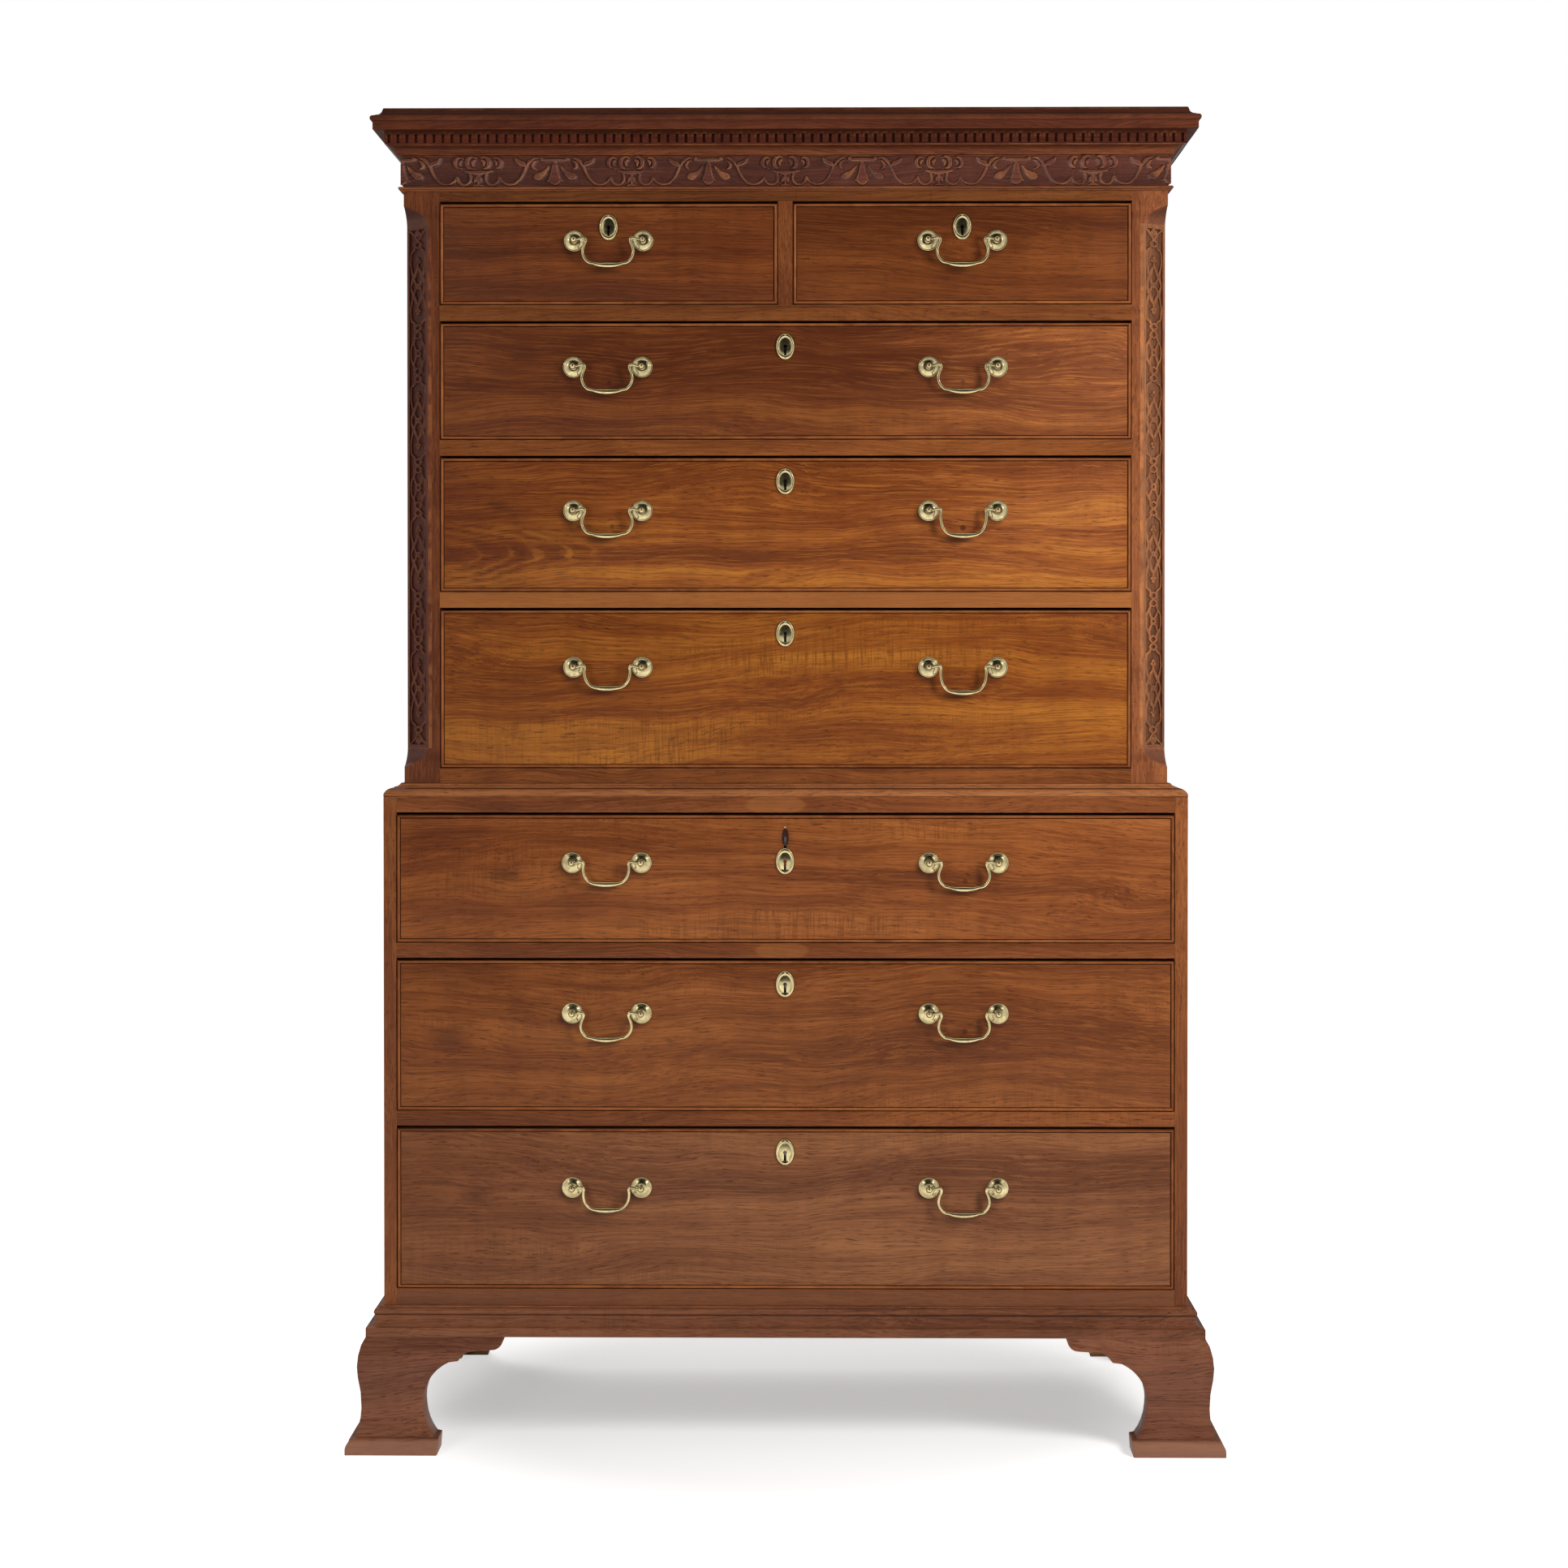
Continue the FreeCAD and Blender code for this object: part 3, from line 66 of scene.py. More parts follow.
# ---------------------------------------------------------------- lower case: sides and front rails
# Two upright side boards with four rails between them, all of Cuban mahogany with a worn French polish.
# The rails are tenoned into the sides, and every arris has been rubbed soft.
MM = 0.001
SIDE_EASE = 1.1
RAIL_EASE = 0.7
NARROW = 3.0 * MM
SHORT_EDGE = 6.0 * MM
BEND_START, BEND_SPAN = 0.05, 0.22
LONG = 3000
WHITE = (1.0, 1.0, 1.0, 1.0)
PATCHED = (176, 112, 60)
DUSTY = (104, 70, 52)
PORE = (52, 24, 13)
# The pale colour of rubbed edges; where the rub is raised above 1 it is painted highlight.
PALE_EDGE_WEAR_AND_HIGHLIGHT = (184, 116, 66)
# The dark tone of wax in hollows, also used for painted shade.
WAX_AND_SHADE = (34, 17, 12)
Part = namedtuple("Part", "points faces finish board grime", defaults=(0, 0.0, None))


def tone(red, green, blue):
    """A colour as it is seen, 0 to 255, made linear."""
    shares = [value / 255 for value in (red, green, blue)]
    return tuple(v / 12.92 if v <= 0.04045 else ((v + 0.055) / 1.055) ** 2.4 for v in shares) + (1.0,)


class Wire:
    """What comes out of a node. Sums, differences and products of wires are Math nodes."""

    def __init__(self, tree, socket):
        self.tree, self.socket = tree, socket

    def __add__(self, other):
        return maths(self.tree, "ADD", self, other)

    def __sub__(self, other):
        return maths(self.tree, "SUBTRACT", self, other)

    def __rsub__(self, other):
        return maths(self.tree, "SUBTRACT", other, self)

    def __mul__(self, other):
        return maths(self.tree, "MULTIPLY", self, other)


def node_in(tree, kind, **settings):
    made = tree.nodes.new(kind)
    for name, value in settings.items():
        setattr(made, name, value)
    return made


def feed(tree, socket, value):
    value = getattr(value, "socket", value)
    if isinstance(value, bpy.types.NodeSocket):
        tree.links.new(value, socket)
    else:
        socket.default_value = value


def wired(tree, kind, values, output=0, **settings):
    """The output of a new node whose first inputs get the values."""
    made = node_in(tree, kind, **settings)
    for socket, value in zip(made.inputs, values):
        feed(tree, socket, value)
    return Wire(tree, made.outputs[output])


def maths(tree, operation, *values):
    return wired(tree, "ShaderNodeMath", values, operation=operation)


def vector_maths(tree, operation, first, second):
    output = "Value" if operation == "LENGTH" else "Vector"
    return wired(tree, "ShaderNodeVectorMath", (first, second), output, operation=operation)


def between(tree, value, low, high, start=0.0, end=1.0):
    return wired(tree, "ShaderNodeMapRange", (value, low, high, start, end), interpolation_type="SMOOTHSTEP")


def joined(tree, *values):
    return wired(tree, "ShaderNodeCombineXYZ", values)


def split(tree, vector):
    made = node_in(tree, "ShaderNodeSeparateXYZ")
    feed(tree, made.inputs[0], vector)
    return [Wire(tree, output) for output in made.outputs]


def blend(tree, share, first, second):
    made = node_in(tree, "ShaderNodeMix", data_type="RGBA")
    for number, value in ((0, share), (6, first), (7, second)):
        feed(tree, made.inputs[number], value)
    return Wire(tree, made.outputs[2])


def noise(tree, place, stretch, detail=2.0, roughness=0.5):
    made = node_in(tree, "ShaderNodeTexNoise")
    feed(tree, made.inputs["Vector"], vector_maths(tree, "MULTIPLY", place, stretch))
    for label, value in (("Scale", 1.0), ("Detail", detail), ("Roughness", roughness)):
        feed(tree, made.inputs[label], value)
    return Wire(tree, made.outputs[0])


def attribute(tree, name):
    return Wire(tree, node_in(tree, "ShaderNodeAttribute", attribute_name=name).outputs["Fac"])


def new_group(name, kind, inputs, outputs):
    """A node group with its sockets: the tree, the wires that come in, and the sockets to feed."""
    tree = bpy.data.node_groups.new(name, kind)
    for way, sockets in (("INPUT", inputs), ("OUTPUT", outputs)):
        for label, socket_kind in sockets.items():
            tree.interface.new_socket(name=label, in_out=way, socket_type="NodeSocket" + socket_kind)
    given = {socket.name: Wire(tree, socket) for socket in tree.nodes.new("NodeGroupInput").outputs}
    return tree, given, tree.nodes.new("NodeGroupOutput").inputs


def place_group(tree, group, values):
    made = node_in(tree, "ShaderNodeGroup", node_tree=group)
    for label, value in values.items():
        feed(tree, made.inputs[label], value)
    return {socket.name: Wire(tree, socket) for socket in made.outputs}


def mahogany_figure():
    """Streaks, curved flames, cross ripple, clouds and pores, with the grain along X."""
    tree, given, result = new_group(
        "mahogany_figure", "ShaderNodeTree",
        {"Place": "Vector", "Board": "Float", "Dark": "Color", "Body": "Color", "Gold": "Color",
         "Figure": "Float", "Flame": "Float", "Heart": "Vector", "Ripple": "Float",
         "Pores": "Float", "Clouds": "Float"},
        {"Colour": "Color", "Roughness": "Float", "Height": "Float"},
    )
    dark, gold = given["Dark"], given["Gold"]
    offset = joined(tree, *(given["Board"] * share for share in (9.1, 3.7, 5.3)))
    place = vector_maths(tree, "ADD", given["Place"], offset)
    sway = noise(tree, place, (1.7, 5.0, 5.0), 2.0)
    curl = noise(tree, place, (5.0, 9.0, 9.0), 1.5)
    hairs = noise(tree, place, (430.0, 22.0, 22.0), 1.5, 0.6) - 0.5
    patch = between(tree, noise(tree, place, (2.6, 9.0, 9.0), 2.0), 0.44, 0.62)
    comb = hairs * patch * (given["Ripple"] * 0.005)
    bend = joined(tree, 0.0, sway * 0.11 + curl * 0.03 + comb, sway * 0.06)
    bent = vector_maths(tree, "ADD", place, bend)
    broad = noise(tree, bent, (0.9, 8.0, 8.0), 2.0)
    streaks = noise(tree, bent, (1.3, 30.0, 30.0), 2.0, 0.5)
    threads = noise(tree, bent, (2.6, 170.0, 170.0), 2.5, 0.6)
    fine = noise(tree, bent, (9.0, 480.0, 480.0), 2.0, 0.6)
    tones = streaks * 0.42 + broad * 0.42 + threads * 0.14
    gold_streak, dark_streak = between(tree, tones, 0.45, 0.64), between(tree, tones, 0.51, 0.36)
    ticks = between(tree, hairs, -0.02, 0.12) * (patch * given["Ripple"]) * (gold_streak * 0.5 + 0.12)
    along, across, _ = split(tree, vector_maths(tree, "SUBTRACT", given["Place"], given["Heart"]))
    off = maths(tree, "ABSOLUTE", across)
    reach = along + off * off * 62.0
    warp = sway * 34.0 + curl * 15.0 + noise(tree, place, (17.0, 42.0, 42.0), 2.5, 0.6) * 8.0
    rings = maths(tree, "SINE", reach * 150.0 + warp)
    flame, tip = between(tree, rings, -0.1, 1.0), between(tree, rings, -0.45, -1.0)
    away = maths(tree, "ABSOLUTE", reach - 0.02)
    feathered = between(tree, noise(tree, bent, (9.0, 70.0, 70.0), 2.0, 0.6), 0.40, 0.58, 0.3, 1.0)
    near = between(tree, off, 0.062, 0.018) * between(tree, away, 0.24, 0.14) * feathered * given["Flame"]
    cloud = between(tree, noise(tree, bent, (4.5, 9.0, 9.0), 3.0, 0.6), 0.54, 0.74)
    bars = between(tree, noise(tree, place, (30.0, 3.0, 3.0), 2.0), 0.40, 0.66)
    pores = between(tree, noise(tree, bent, (55.0, 900.0, 900.0), 1.0), 0.58, 0.72) * given["Pores"]
    colour = given["Body"]
    for share, tint in (
            (dark_streak * 0.7, dark), (gold_streak * given["Figure"], gold), (ticks, dark),
            (flame * near, dark), (tip * near, gold), (between(tree, fine, 0.54, 0.32) * 0.45, dark),
            (between(tree, fine, 0.50, 0.68) * 0.32, gold), (bars * 0.14, dark),
            (cloud * given["Clouds"], dark), (pores, tone(*PORE))):
        colour = blend(tree, share, colour, tint)
    feed(tree, result["Colour"], colour)
    rough = between(tree, fine, 0.3, 0.7, 0.34, 0.46) + pores * 0.2 + cloud * 0.06
    feed(tree, result["Roughness"], rough)
    feed(tree, result["Height"], 1.0 - (pores * 0.8 + fine * 0.25))
    return tree


def handling_wear():
    """Rubbed arrises go pale, hollows hold dark wax and soil, and the painted shade set on parts darkens the
    wood too. Faces that look down are darkened as painted shade.
    """
    tree, given, result = new_group(
        "handling_wear", "ShaderNodeTree",
        {"Place": "Vector", "Colour": "Color", "Roughness": "Float", "Worn": "Float", "Grime": "Float",
         "Pale": "Color", "Wax and shade": "Color"},
        {"Colour": "Color", "Roughness": "Float"},
    )
    patchy = between(tree, noise(tree, given["Place"], (34.0, 34.0, 34.0), 3.0, 0.6), 0.40, 0.62)
    grime = given["Grime"] * (patchy * 0.3 + 0.6)
    worn = given["Worn"] * (patchy * 0.34 + 0.06)
    upward = split(tree, node_in(tree, "ShaderNodeNewGeometry").outputs["True Normal"])[2]
    # Faces that look down are blended towards the dark tone as painted shade; they and faces that look up are
    # also rougher.
    underside_shade, dust = between(tree, upward, -0.35, -0.85), between(tree, upward, 0.45, 0.9)
    colour = blend(tree, grime, given["Colour"], given["Wax and shade"])
    colour = blend(tree, underside_shade * 0.45, colour, given["Wax and shade"])
    feed(tree, result["Colour"], blend(tree, worn, colour, given["Pale"]))
    rough = given["Roughness"] + grime * 0.25 + (underside_shade * 0.45 + dust * 0.35)
    feed(tree, result["Roughness"], maths(tree, "MINIMUM", rough, 0.95))
    return tree


def round_mark():
    """A soft-edged oval mask round a point, for plugs, clouds and repairs."""
    tree, given, result = new_group(
        "round_mark", "ShaderNodeTree",
        {"Place": "Vector", "Centre": "Vector", "Half": "Vector", "Softness": "Float", "Ragged": "Float"},
        {"Mask": "Float"},
    )
    away = vector_maths(tree, "SUBTRACT", given["Place"], given["Centre"])
    away = vector_maths(tree, "DIVIDE", away, given["Half"])
    away = vector_maths(tree, "MULTIPLY", away, (1.0, 1.0, 0.0))
    ragged = (noise(tree, given["Place"], (9.0, 55.0, 55.0), 3.0) - 0.5) * given["Ragged"]
    distance = vector_maths(tree, "LENGTH", away, (0.0, 0.0, 0.0)) + ragged
    feed(tree, result["Mask"], between(tree, distance, 1.0, 1.0 - given["Softness"]))
    return tree


FIGURE = mahogany_figure()
WEAR = handling_wear()
MARK = round_mark()
GRAIN_TURN = {"x": (-math.pi / 2, 0.0, 0.0), "y": (0.0, 0.0, -math.pi / 2), "z": (0.0, math.pi / 2, 0.0)}


def new_finish(name):
    """A material and its node tree."""
    finish = bpy.data.materials.new(name)
    finish.use_nodes = True
    return finish, finish.node_tree


def figured(tree, grain, dark, body, gold, **looks):
    """The place along the grain, and the wood's colour, roughness and height there."""
    turned = node_in(tree, "ShaderNodeMapping")
    feed(tree, turned.inputs["Vector"], node_in(tree, "ShaderNodeTexCoord").outputs["Object"])
    feed(tree, turned.inputs["Rotation"], GRAIN_TURN[grain])
    place = Wire(tree, turned.outputs[0])
    return place, place_group(tree, FIGURE, {
        "Place": place, "Board": attribute(tree, "board"), "Dark": tone(*dark), "Body": tone(*body),
        "Gold": tone(*gold), **looks})


def clad(tree, colour, roughness, height, strength, depth):
    """Feeds the shader, with a bump as deep as so many mm, and returns the shader's own inputs."""
    inputs = tree.nodes["Principled BSDF"].inputs
    relief = node_in(tree, "ShaderNodeBump")
    for label, value in (("Strength", strength), ("Distance", depth * MM), ("Height", height)):
        feed(tree, relief.inputs[label], value)
    for label, value in (("Base Color", colour), ("Roughness", roughness), ("Normal", relief.outputs[0])):
        feed(tree, inputs[label], value)
    return inputs


def mahogany(name, grain, dark, body, gold, figure=0.55, flame=0.0, heart=(0.0, 0.0), ripple=0.4, pores=0.6,
             clouds=0.35, marks=(), gloss=0.04, sheen=0.12, rubbed=1.0, light_and_shade_washes=()):
    """Polished mahogany. A mark is (x, z, half width, half height, colour, strength, softness, ragged).

    A wash (x, z, half width, half height, gain) multiplies the wood's colour and leaves its figure: a gain
    above 1 is painted light, one below 1 painted shade."""
    finish, tree = new_finish(name)
    place, wood = figured(tree, grain, dark, body, gold, Figure=figure, Flame=flame, Heart=(*heart, 0.0),
                          Ripple=ripple, Pores=pores, Clouds=clouds)

    def mask(x, z, half_width, half_height, softness, ragged):
        return place_group(tree, MARK, {
            "Place": place, "Centre": (x * MM, z * MM, 0.0), "Half": (half_width * MM, half_height * MM, 1.0),
            "Softness": softness, "Ragged": ragged})["Mask"]

    colour = wood["Colour"]
    for *spot, tint, strength, softness, ragged in marks:
        colour = blend(tree, mask(*spot, softness, ragged) * strength, colour, tone(*tint))
    for *spot, gain in light_and_shade_washes:
        share = blend(tree, mask(*spot, 1.0, 0.9), WHITE, gain + (1.0,))
        colour = vector_maths(tree, "MULTIPLY", colour, share)
    used = place_group(tree, WEAR, {
        "Place": place, "Colour": colour, "Roughness": wood["Roughness"],
        "Worn": attribute(tree, "worn") * rubbed, "Grime": attribute(tree, "grime"),
        "Pale": tone(*PALE_EDGE_WEAR_AND_HIGHLIGHT), "Wax and shade": tone(*WAX_AND_SHADE)})
    shader = clad(tree, used["Colour"], used["Roughness"], wood["Height"], 0.7, 0.16)
    shader["Specular IOR Level"].default_value = sheen
    shader["Coat Weight"].default_value = gloss
    shader["Coat Roughness"].default_value = 0.24
    return finish


def read(items, field, width=1, kind=np.int64):
    """One field of a mesh's items as an array."""
    values = np.empty(len(items) * width, kind)
    items.foreach_get(field, values)
    return values.reshape(-1, width) if width > 1 else values


def mark_edges(mesh, set_grime_and_shade):
    """Writes how worn each vertex is, and how grimy and shaded: fine proud edges wear, fine hollows hold wax,
    and painted shade given with the parts is kept.
    """
    place, normal = read(mesh.vertices, "co", 3, float), read(mesh.vertices, "normal", 3, float)
    first, second = read(mesh.edges, "vertices", 2).T
    step = place[second] - place[first]
    length = np.maximum(np.linalg.norm(step, axis=1), 1e-9)
    short = (length < SHORT_EDGE).astype(float)
    rise, weight, width = np.zeros(len(place)), np.full(len(place), 1e-6), np.zeros(len(place))
    for end, sign in ((first, 1), (second, -1)):
        np.add.at(rise, end, sign * short * np.einsum("ij,ij->i", step, normal[end]) / length)
        np.add.at(weight, end, short)
    longest = np.maximum.reduceat(length[read(mesh.loops, "edge_index")], read(mesh.polygons, "loop_start"))
    widths = np.repeat(read(mesh.polygons, "area", 1, float) / longest, read(mesh.polygons, "loop_total"))
    np.maximum.at(width, read(mesh.loops, "vertex_index"), widths)
    bend = np.where(width < NARROW, rise / weight, 0.0)
    worn = np.clip((-bend - BEND_START) / BEND_SPAN, 0, 1)
    grime = np.maximum(np.clip((bend - BEND_START) / BEND_SPAN, 0, 1), set_grime_and_shade)
    for name, values in (("worn", worn), ("grime", grime)):
        mesh.attributes.new(name, "FLOAT", "POINT").data.foreach_set("value", values.astype(np.float32))


def make(name, parts, finishes, sharp=32.0):
    """One object from closed parts, with outward normals and its wear marked."""
    points = np.concatenate([np.asarray(part.points, float).reshape(-1, 3) for part in parts])
    faces, slots, start = [], [], 0
    for part in parts:
        faces += [tuple(index + start for index in face) for face in part.faces]
        slots += [part.finish] * len(part.faces)
        start += len(part.points)
    mesh = bpy.data.meshes.new(name)
    mesh.from_pydata(points.tolist(), [], faces)
    for finish in finishes:
        mesh.materials.append(finish)
    mesh.polygons.foreach_set("material_index", slots)
    work = bmesh.new()
    work.from_mesh(mesh)
    bmesh.ops.recalc_face_normals(work, faces=work.faces)
    work.to_mesh(mesh)
    work.free()
    mesh.polygons.foreach_set("use_smooth", [True] * len(mesh.polygons))
    mesh.set_sharp_from_angle(angle=math.radians(sharp))
    boards = np.concatenate([np.full(len(part.points), part.board) for part in parts])
    mesh.attributes.new("board", "FLOAT", "POINT").data.foreach_set("value", boards.astype(np.float32))
    hand = np.concatenate([np.zeros(len(part.points)) if part.grime is None else part.grime
                           for part in parts])
    mark_edges(mesh, hand)
    made = bpy.data.objects.new(name, mesh)
    bpy.context.scene.collection.objects.link(made)
    return made


def by_place(vector):
    return tuple(round(value, 6) for value in vector)


def islands(work):
    """Groups of joined vertices, always in the same order: by where they stand."""
    groups, seen = [], set()
    for start in work.verts:
        if start in seen:
            continue
        seen.add(start)
        group, open_ends = [], [start]
        while open_ends:
            vertex = open_ends.pop()
            group.append(vertex)
            for other in (edge.other_vert(vertex) for edge in vertex.link_edges):
                if other not in seen:
                    seen.add(other)
                    open_ends.append(other)
        groups.append(sorted(group, key=lambda v: by_place(v.co)))
    return sorted(groups, key=lambda found: by_place(np.array([v.co for v in found]).min(axis=0)))


def rub(work, edges, ease, clamped=False):
    """Rubs edges round, by an ease in mm."""
    bmesh.ops.bevel(work, geom=edges, offset=ease * MM, segments=3, profile=0.6, affect="EDGES",
                    clamp_overlap=clamped)


def eased(node, name, finishes, ease, choose=None):
    """A merged copy of a CAD node's boards with rubbed arrises, one number for each board."""
    work = bmesh.new()
    work.from_mesh(frame["nodes"][node].data)
    bmesh.ops.remove_doubles(work, verts=work.verts, dist=1e-6)
    bmesh.ops.dissolve_limit(work, angle_limit=math.radians(1), verts=work.verts, edges=work.edges)
    arrises = [e for e in work.edges if len(e.link_faces) == 2 and e.calc_face_angle(0.0) > math.radians(30)]
    rub(work, arrises, ease, True)
    parts = []
    for number, group in enumerate(islands(work)):
        order = {vertex: place for place, vertex in enumerate(group)}
        points = [tuple(vertex.co) for vertex in group]
        faces = {face for vertex in group for face in vertex.link_faces}
        faces = sorted(faces, key=lambda face: by_place(face.calc_center_median()))
        listed = [tuple(order[v] for v in face.verts) for face in faces]
        finish = choose(np.ptp(np.array(points), axis=0)) if choose else 0
        parts.append(Part(points, listed, finish, (number * 0.37) % 1))
    work.free()
    return make(name, parts, finishes)


def fitted(piece, body, slot, *nodes):
    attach(piece, body)
    if nodes:
        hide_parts(*nodes)


side_wood = mahogany("lower_side_mahogany", "z", (89, 45, 25), (126, 72, 39), (155, 94, 51), clouds=0.2)
rail_wood = mahogany("lower_rail_mahogany", "x", (84, 42, 21), (123, 68, 35), (154, 91, 47), figure=0.6,
                     marks=((-14, 895, 46, 16, PATCHED, 0.24, 0.2, 0.3),
                            (-4, 692, 40, 14, PATCHED, 0.22, 0.2, 0.3),
                            (0, 209, LONG, 14, DUSTY, 0.45, 0.4, 0.4)))
lower_sides = eased("lower_sides", "lower_side_boards", [side_wood], SIDE_EASE)
fitted(lower_sides, "lower_case", "mahogany", "lower_sides")
lower_rails = eased("lower_rails", "lower_front_rails", [rail_wood], RAIL_EASE)
fitted(lower_rails, "lower_case", "mahogany", "lower_rails")

# ---------------------------------------------------------------- lower case: inner boards and back
# Bottom, dust boards and top of oak, and a back of wide softwood planks nailed into rebates.
# Bare wood, darkened by two centuries of air.
PLANK_GAP = 0.9
PLANK_EASE = 0.9


def bare_wood(name, grain, dark, body, pale):
    """Unpolished oak or pine: open grain, dusty and dry."""
    finish, tree = new_finish(name)
    _, wood = figured(tree, grain, dark, body, pale, Figure=0.6, Ripple=0.1, Pores=0.45, Clouds=0.22)
    shader = clad(tree, wood["Colour"], wood["Roughness"] + 0.38, wood["Height"], 0.8, 0.4)
    shader["Specular IOR Level"].default_value = 0.25
    return finish


def refinished(node, finish):
    """Gives a CAD node that is shown as it is its wood or metal."""
    materials = frame["nodes"][node].data.materials
    materials.clear()
    materials.append(finish)


def rounded_box(low, high, ease):
    """A board between two corners, with its arrises rubbed round. Sizes in mm."""
    work = bmesh.new()
    bmesh.ops.create_cube(work, size=1.0)
    low, high = np.array(low) * MM, np.array(high) * MM
    for vertex in work.verts:
        vertex.co = (np.array(vertex.co) + 0.5) * (high - low) + low
    rub(work, work.edges[:], ease)
    work.verts.index_update()
    points = [tuple(vertex.co) for vertex in work.verts]
    faces = [tuple(vertex.index for vertex in face.verts) for face in work.faces]
    work.free()
    return points, faces


def box_of(node):
    """The corners of a CAD node or body, in mm."""
    return [np.array(corner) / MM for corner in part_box(node)]


def planked_back(node, name, planks, finish):
    """A back of level planks with narrow gaps, in the CAD board's place."""
    low, high = box_of(node)
    pitch = (high[2] - low[2]) / planks
    parts = []
    for number in range(planks):
        bottom = (*low[:2], low[2] + number * pitch + (PLANK_GAP if number else 0.0))
        top = (*high[:2], low[2] + (number + 1) * pitch)
        parts.append(Part(*rounded_box(bottom, top, PLANK_EASE), 0, number * 0.31))
    return make(name, parts, [finish])


oak = bare_wood("dust_board_oak", "x", (84, 60, 39), (132, 101, 68), (160, 128, 90))
pine = bare_wood("back_pine", "x", (98, 70, 45), (150, 114, 77), (180, 144, 101))
refinished("lower_boards", oak)
fitted(planked_back("lower_back", "lower_back_planks", 4, pine), "lower_case", "back_wood", "lower_back")

# ---------------------------------------------------------------- bracket feet
# Four ogee bracket feet: shaped front and side brackets mitred at the corner, a plain board behind at
# the rear, and a glue block in each corner. The brackets are sawn from thick mahogany with the grain level.
FOOT_SECTION = ((48, 0), (48, 7), ((46.4, 13.4), (43, 17.5)), (42.5, 21.5), (36, 22.5),
                ((30.2, 39.5), (27.6, 61.5)), ((29, 86.5), (32, 104)), ((33, 122), (28, 148)), (22.5, 158))
FOOT_WINDOW = ((79, 0), (80.6, 21.5), (74, 22.5), ((64, 40.5), (59.5, 61.5)), ((68.5, 103.5), (94, 125)),
               ((100, 126), (107, 126.6)), ((113, 134), (129, 140)), (153.6, 141.5),
               ((164.6, 146), (168.6, 154)), (169.6, 158))
FOOT_BACK = -6.0
FOOT_ROWS = 84
FOOT_COLUMNS = 12
FOOT_ROUND = 1.6
FOOT_TOP = 158
REAR_BOARD = (80.0, 163.6, 70.0, 140.0)
GLUE_BLOCK = 42


def metres(points):
    return [(x * MM, y * MM, z * MM) for x, y, z in points]


def quads(first, second, count):
    """Faces between two closed rings of points, from the numbers of their first points."""
    return [(first + k, first + (k + 1) % count, second + (k + 1) % count, second + k) for k in range(count)]


def ring_loft(loops):
    """A closed solid through loops that have the same number of points."""
    count = len(loops[0])
    points = [point for loop in loops for point in loop]
    faces = [face for row in range(len(loops) - 1) for face in quads(row * count, (row + 1) * count, count)]
    faces += [tuple(range(count)), tuple((len(loops) - 1) * count + k for k in range(count))]
    return points, faces


def arc(start, via, end, turn=10.0):
    """Points after start on the circle through three points."""
    (ax, ay), (bx, by), (cx, cy) = start, via, end
    d = 2 * (ax * (by - cy) + bx * (cy - ay) + cx * (ay - by))
    squares = [x * x + y * y for x, y in (start, via, end)]
    ox = (squares[0] * (by - cy) + squares[1] * (cy - ay) + squares[2] * (ay - by)) / d
    oy = (squares[0] * (cx - bx) + squares[1] * (ax - cx) + squares[2] * (bx - ax)) / d
    angles = [math.atan2(y - oy, x - ox) for x, y in (start, via, end)]
    full = 2 * math.pi
    sweep = (angles[2] - angles[0]) % full
    if (angles[1] - angles[0]) % full > sweep:
        sweep -= full
    steps = max(2, math.ceil(abs(math.degrees(sweep)) / turn))
    radius = math.hypot(ax - ox, ay - oy)
    turns = [angles[0] + sweep * k / steps for k in range(1, steps + 1)]
    return [(ox + radius * math.cos(a), oy + radius * math.sin(a)) for a in turns]


def outline(steps):
    """A line through points, where a pair of points is an arc (by way of, to)."""
    line = [steps[0]]
    for step in steps[1:]:
        if isinstance(step[0], tuple):
            line += arc(line[-1], step[0], step[1])
        else:
            line.append(step)
    return line


def softened(line, radius, closed=True, least=22.0):
    """Rounds the corners of an outline, as rubbing and polish do."""
    made = []
    count = len(line)
    for index, point in enumerate(line):
        if not closed and index in (0, count - 1):
            made.append(point)
            continue
        here = np.array(point, float)
        back, ahead = np.array(line[index - 1]) - here, np.array(line[(index + 1) % count]) - here
        back_length, ahead_length = np.linalg.norm(back), np.linalg.norm(ahead)
        turn = math.degrees(math.acos(np.clip(-(back @ ahead) / (back_length * ahead_length), -1, 1)))
        if turn < least:
            made.append(tuple(here))
            continue
        cut = min(radius, 0.4 * back_length, 0.4 * ahead_length)
        near, far = here + back / back_length * cut, here + ahead / ahead_length * cut
        made += [tuple(near), tuple(0.25 * near + 0.5 * here + 0.25 * far), tuple(far)]
    return made


def by_height(line, heights):
    """Distances of an outline at given heights."""
    points = np.array(line)
    levels = np.maximum.accumulate(points[:, 1] + np.arange(len(points)) * 1e-6)
    return np.interp(heights, levels, points[:, 0])


def foot_heights():
    """Levels close together where the outlines turn."""
    even = np.linspace(0, FOOT_TOP, FOOT_ROWS)
    close = [level + shift for level in (7, 17.5, 21.5, 22.5) for shift in (-0.5, -0.15, 0.15, 0.5)]
    low_arch = np.linspace(138, 143, 11)
    return np.unique(np.concatenate([even, close, low_arch, [125, 125.6, 126.2, 126.6]]).round(3))


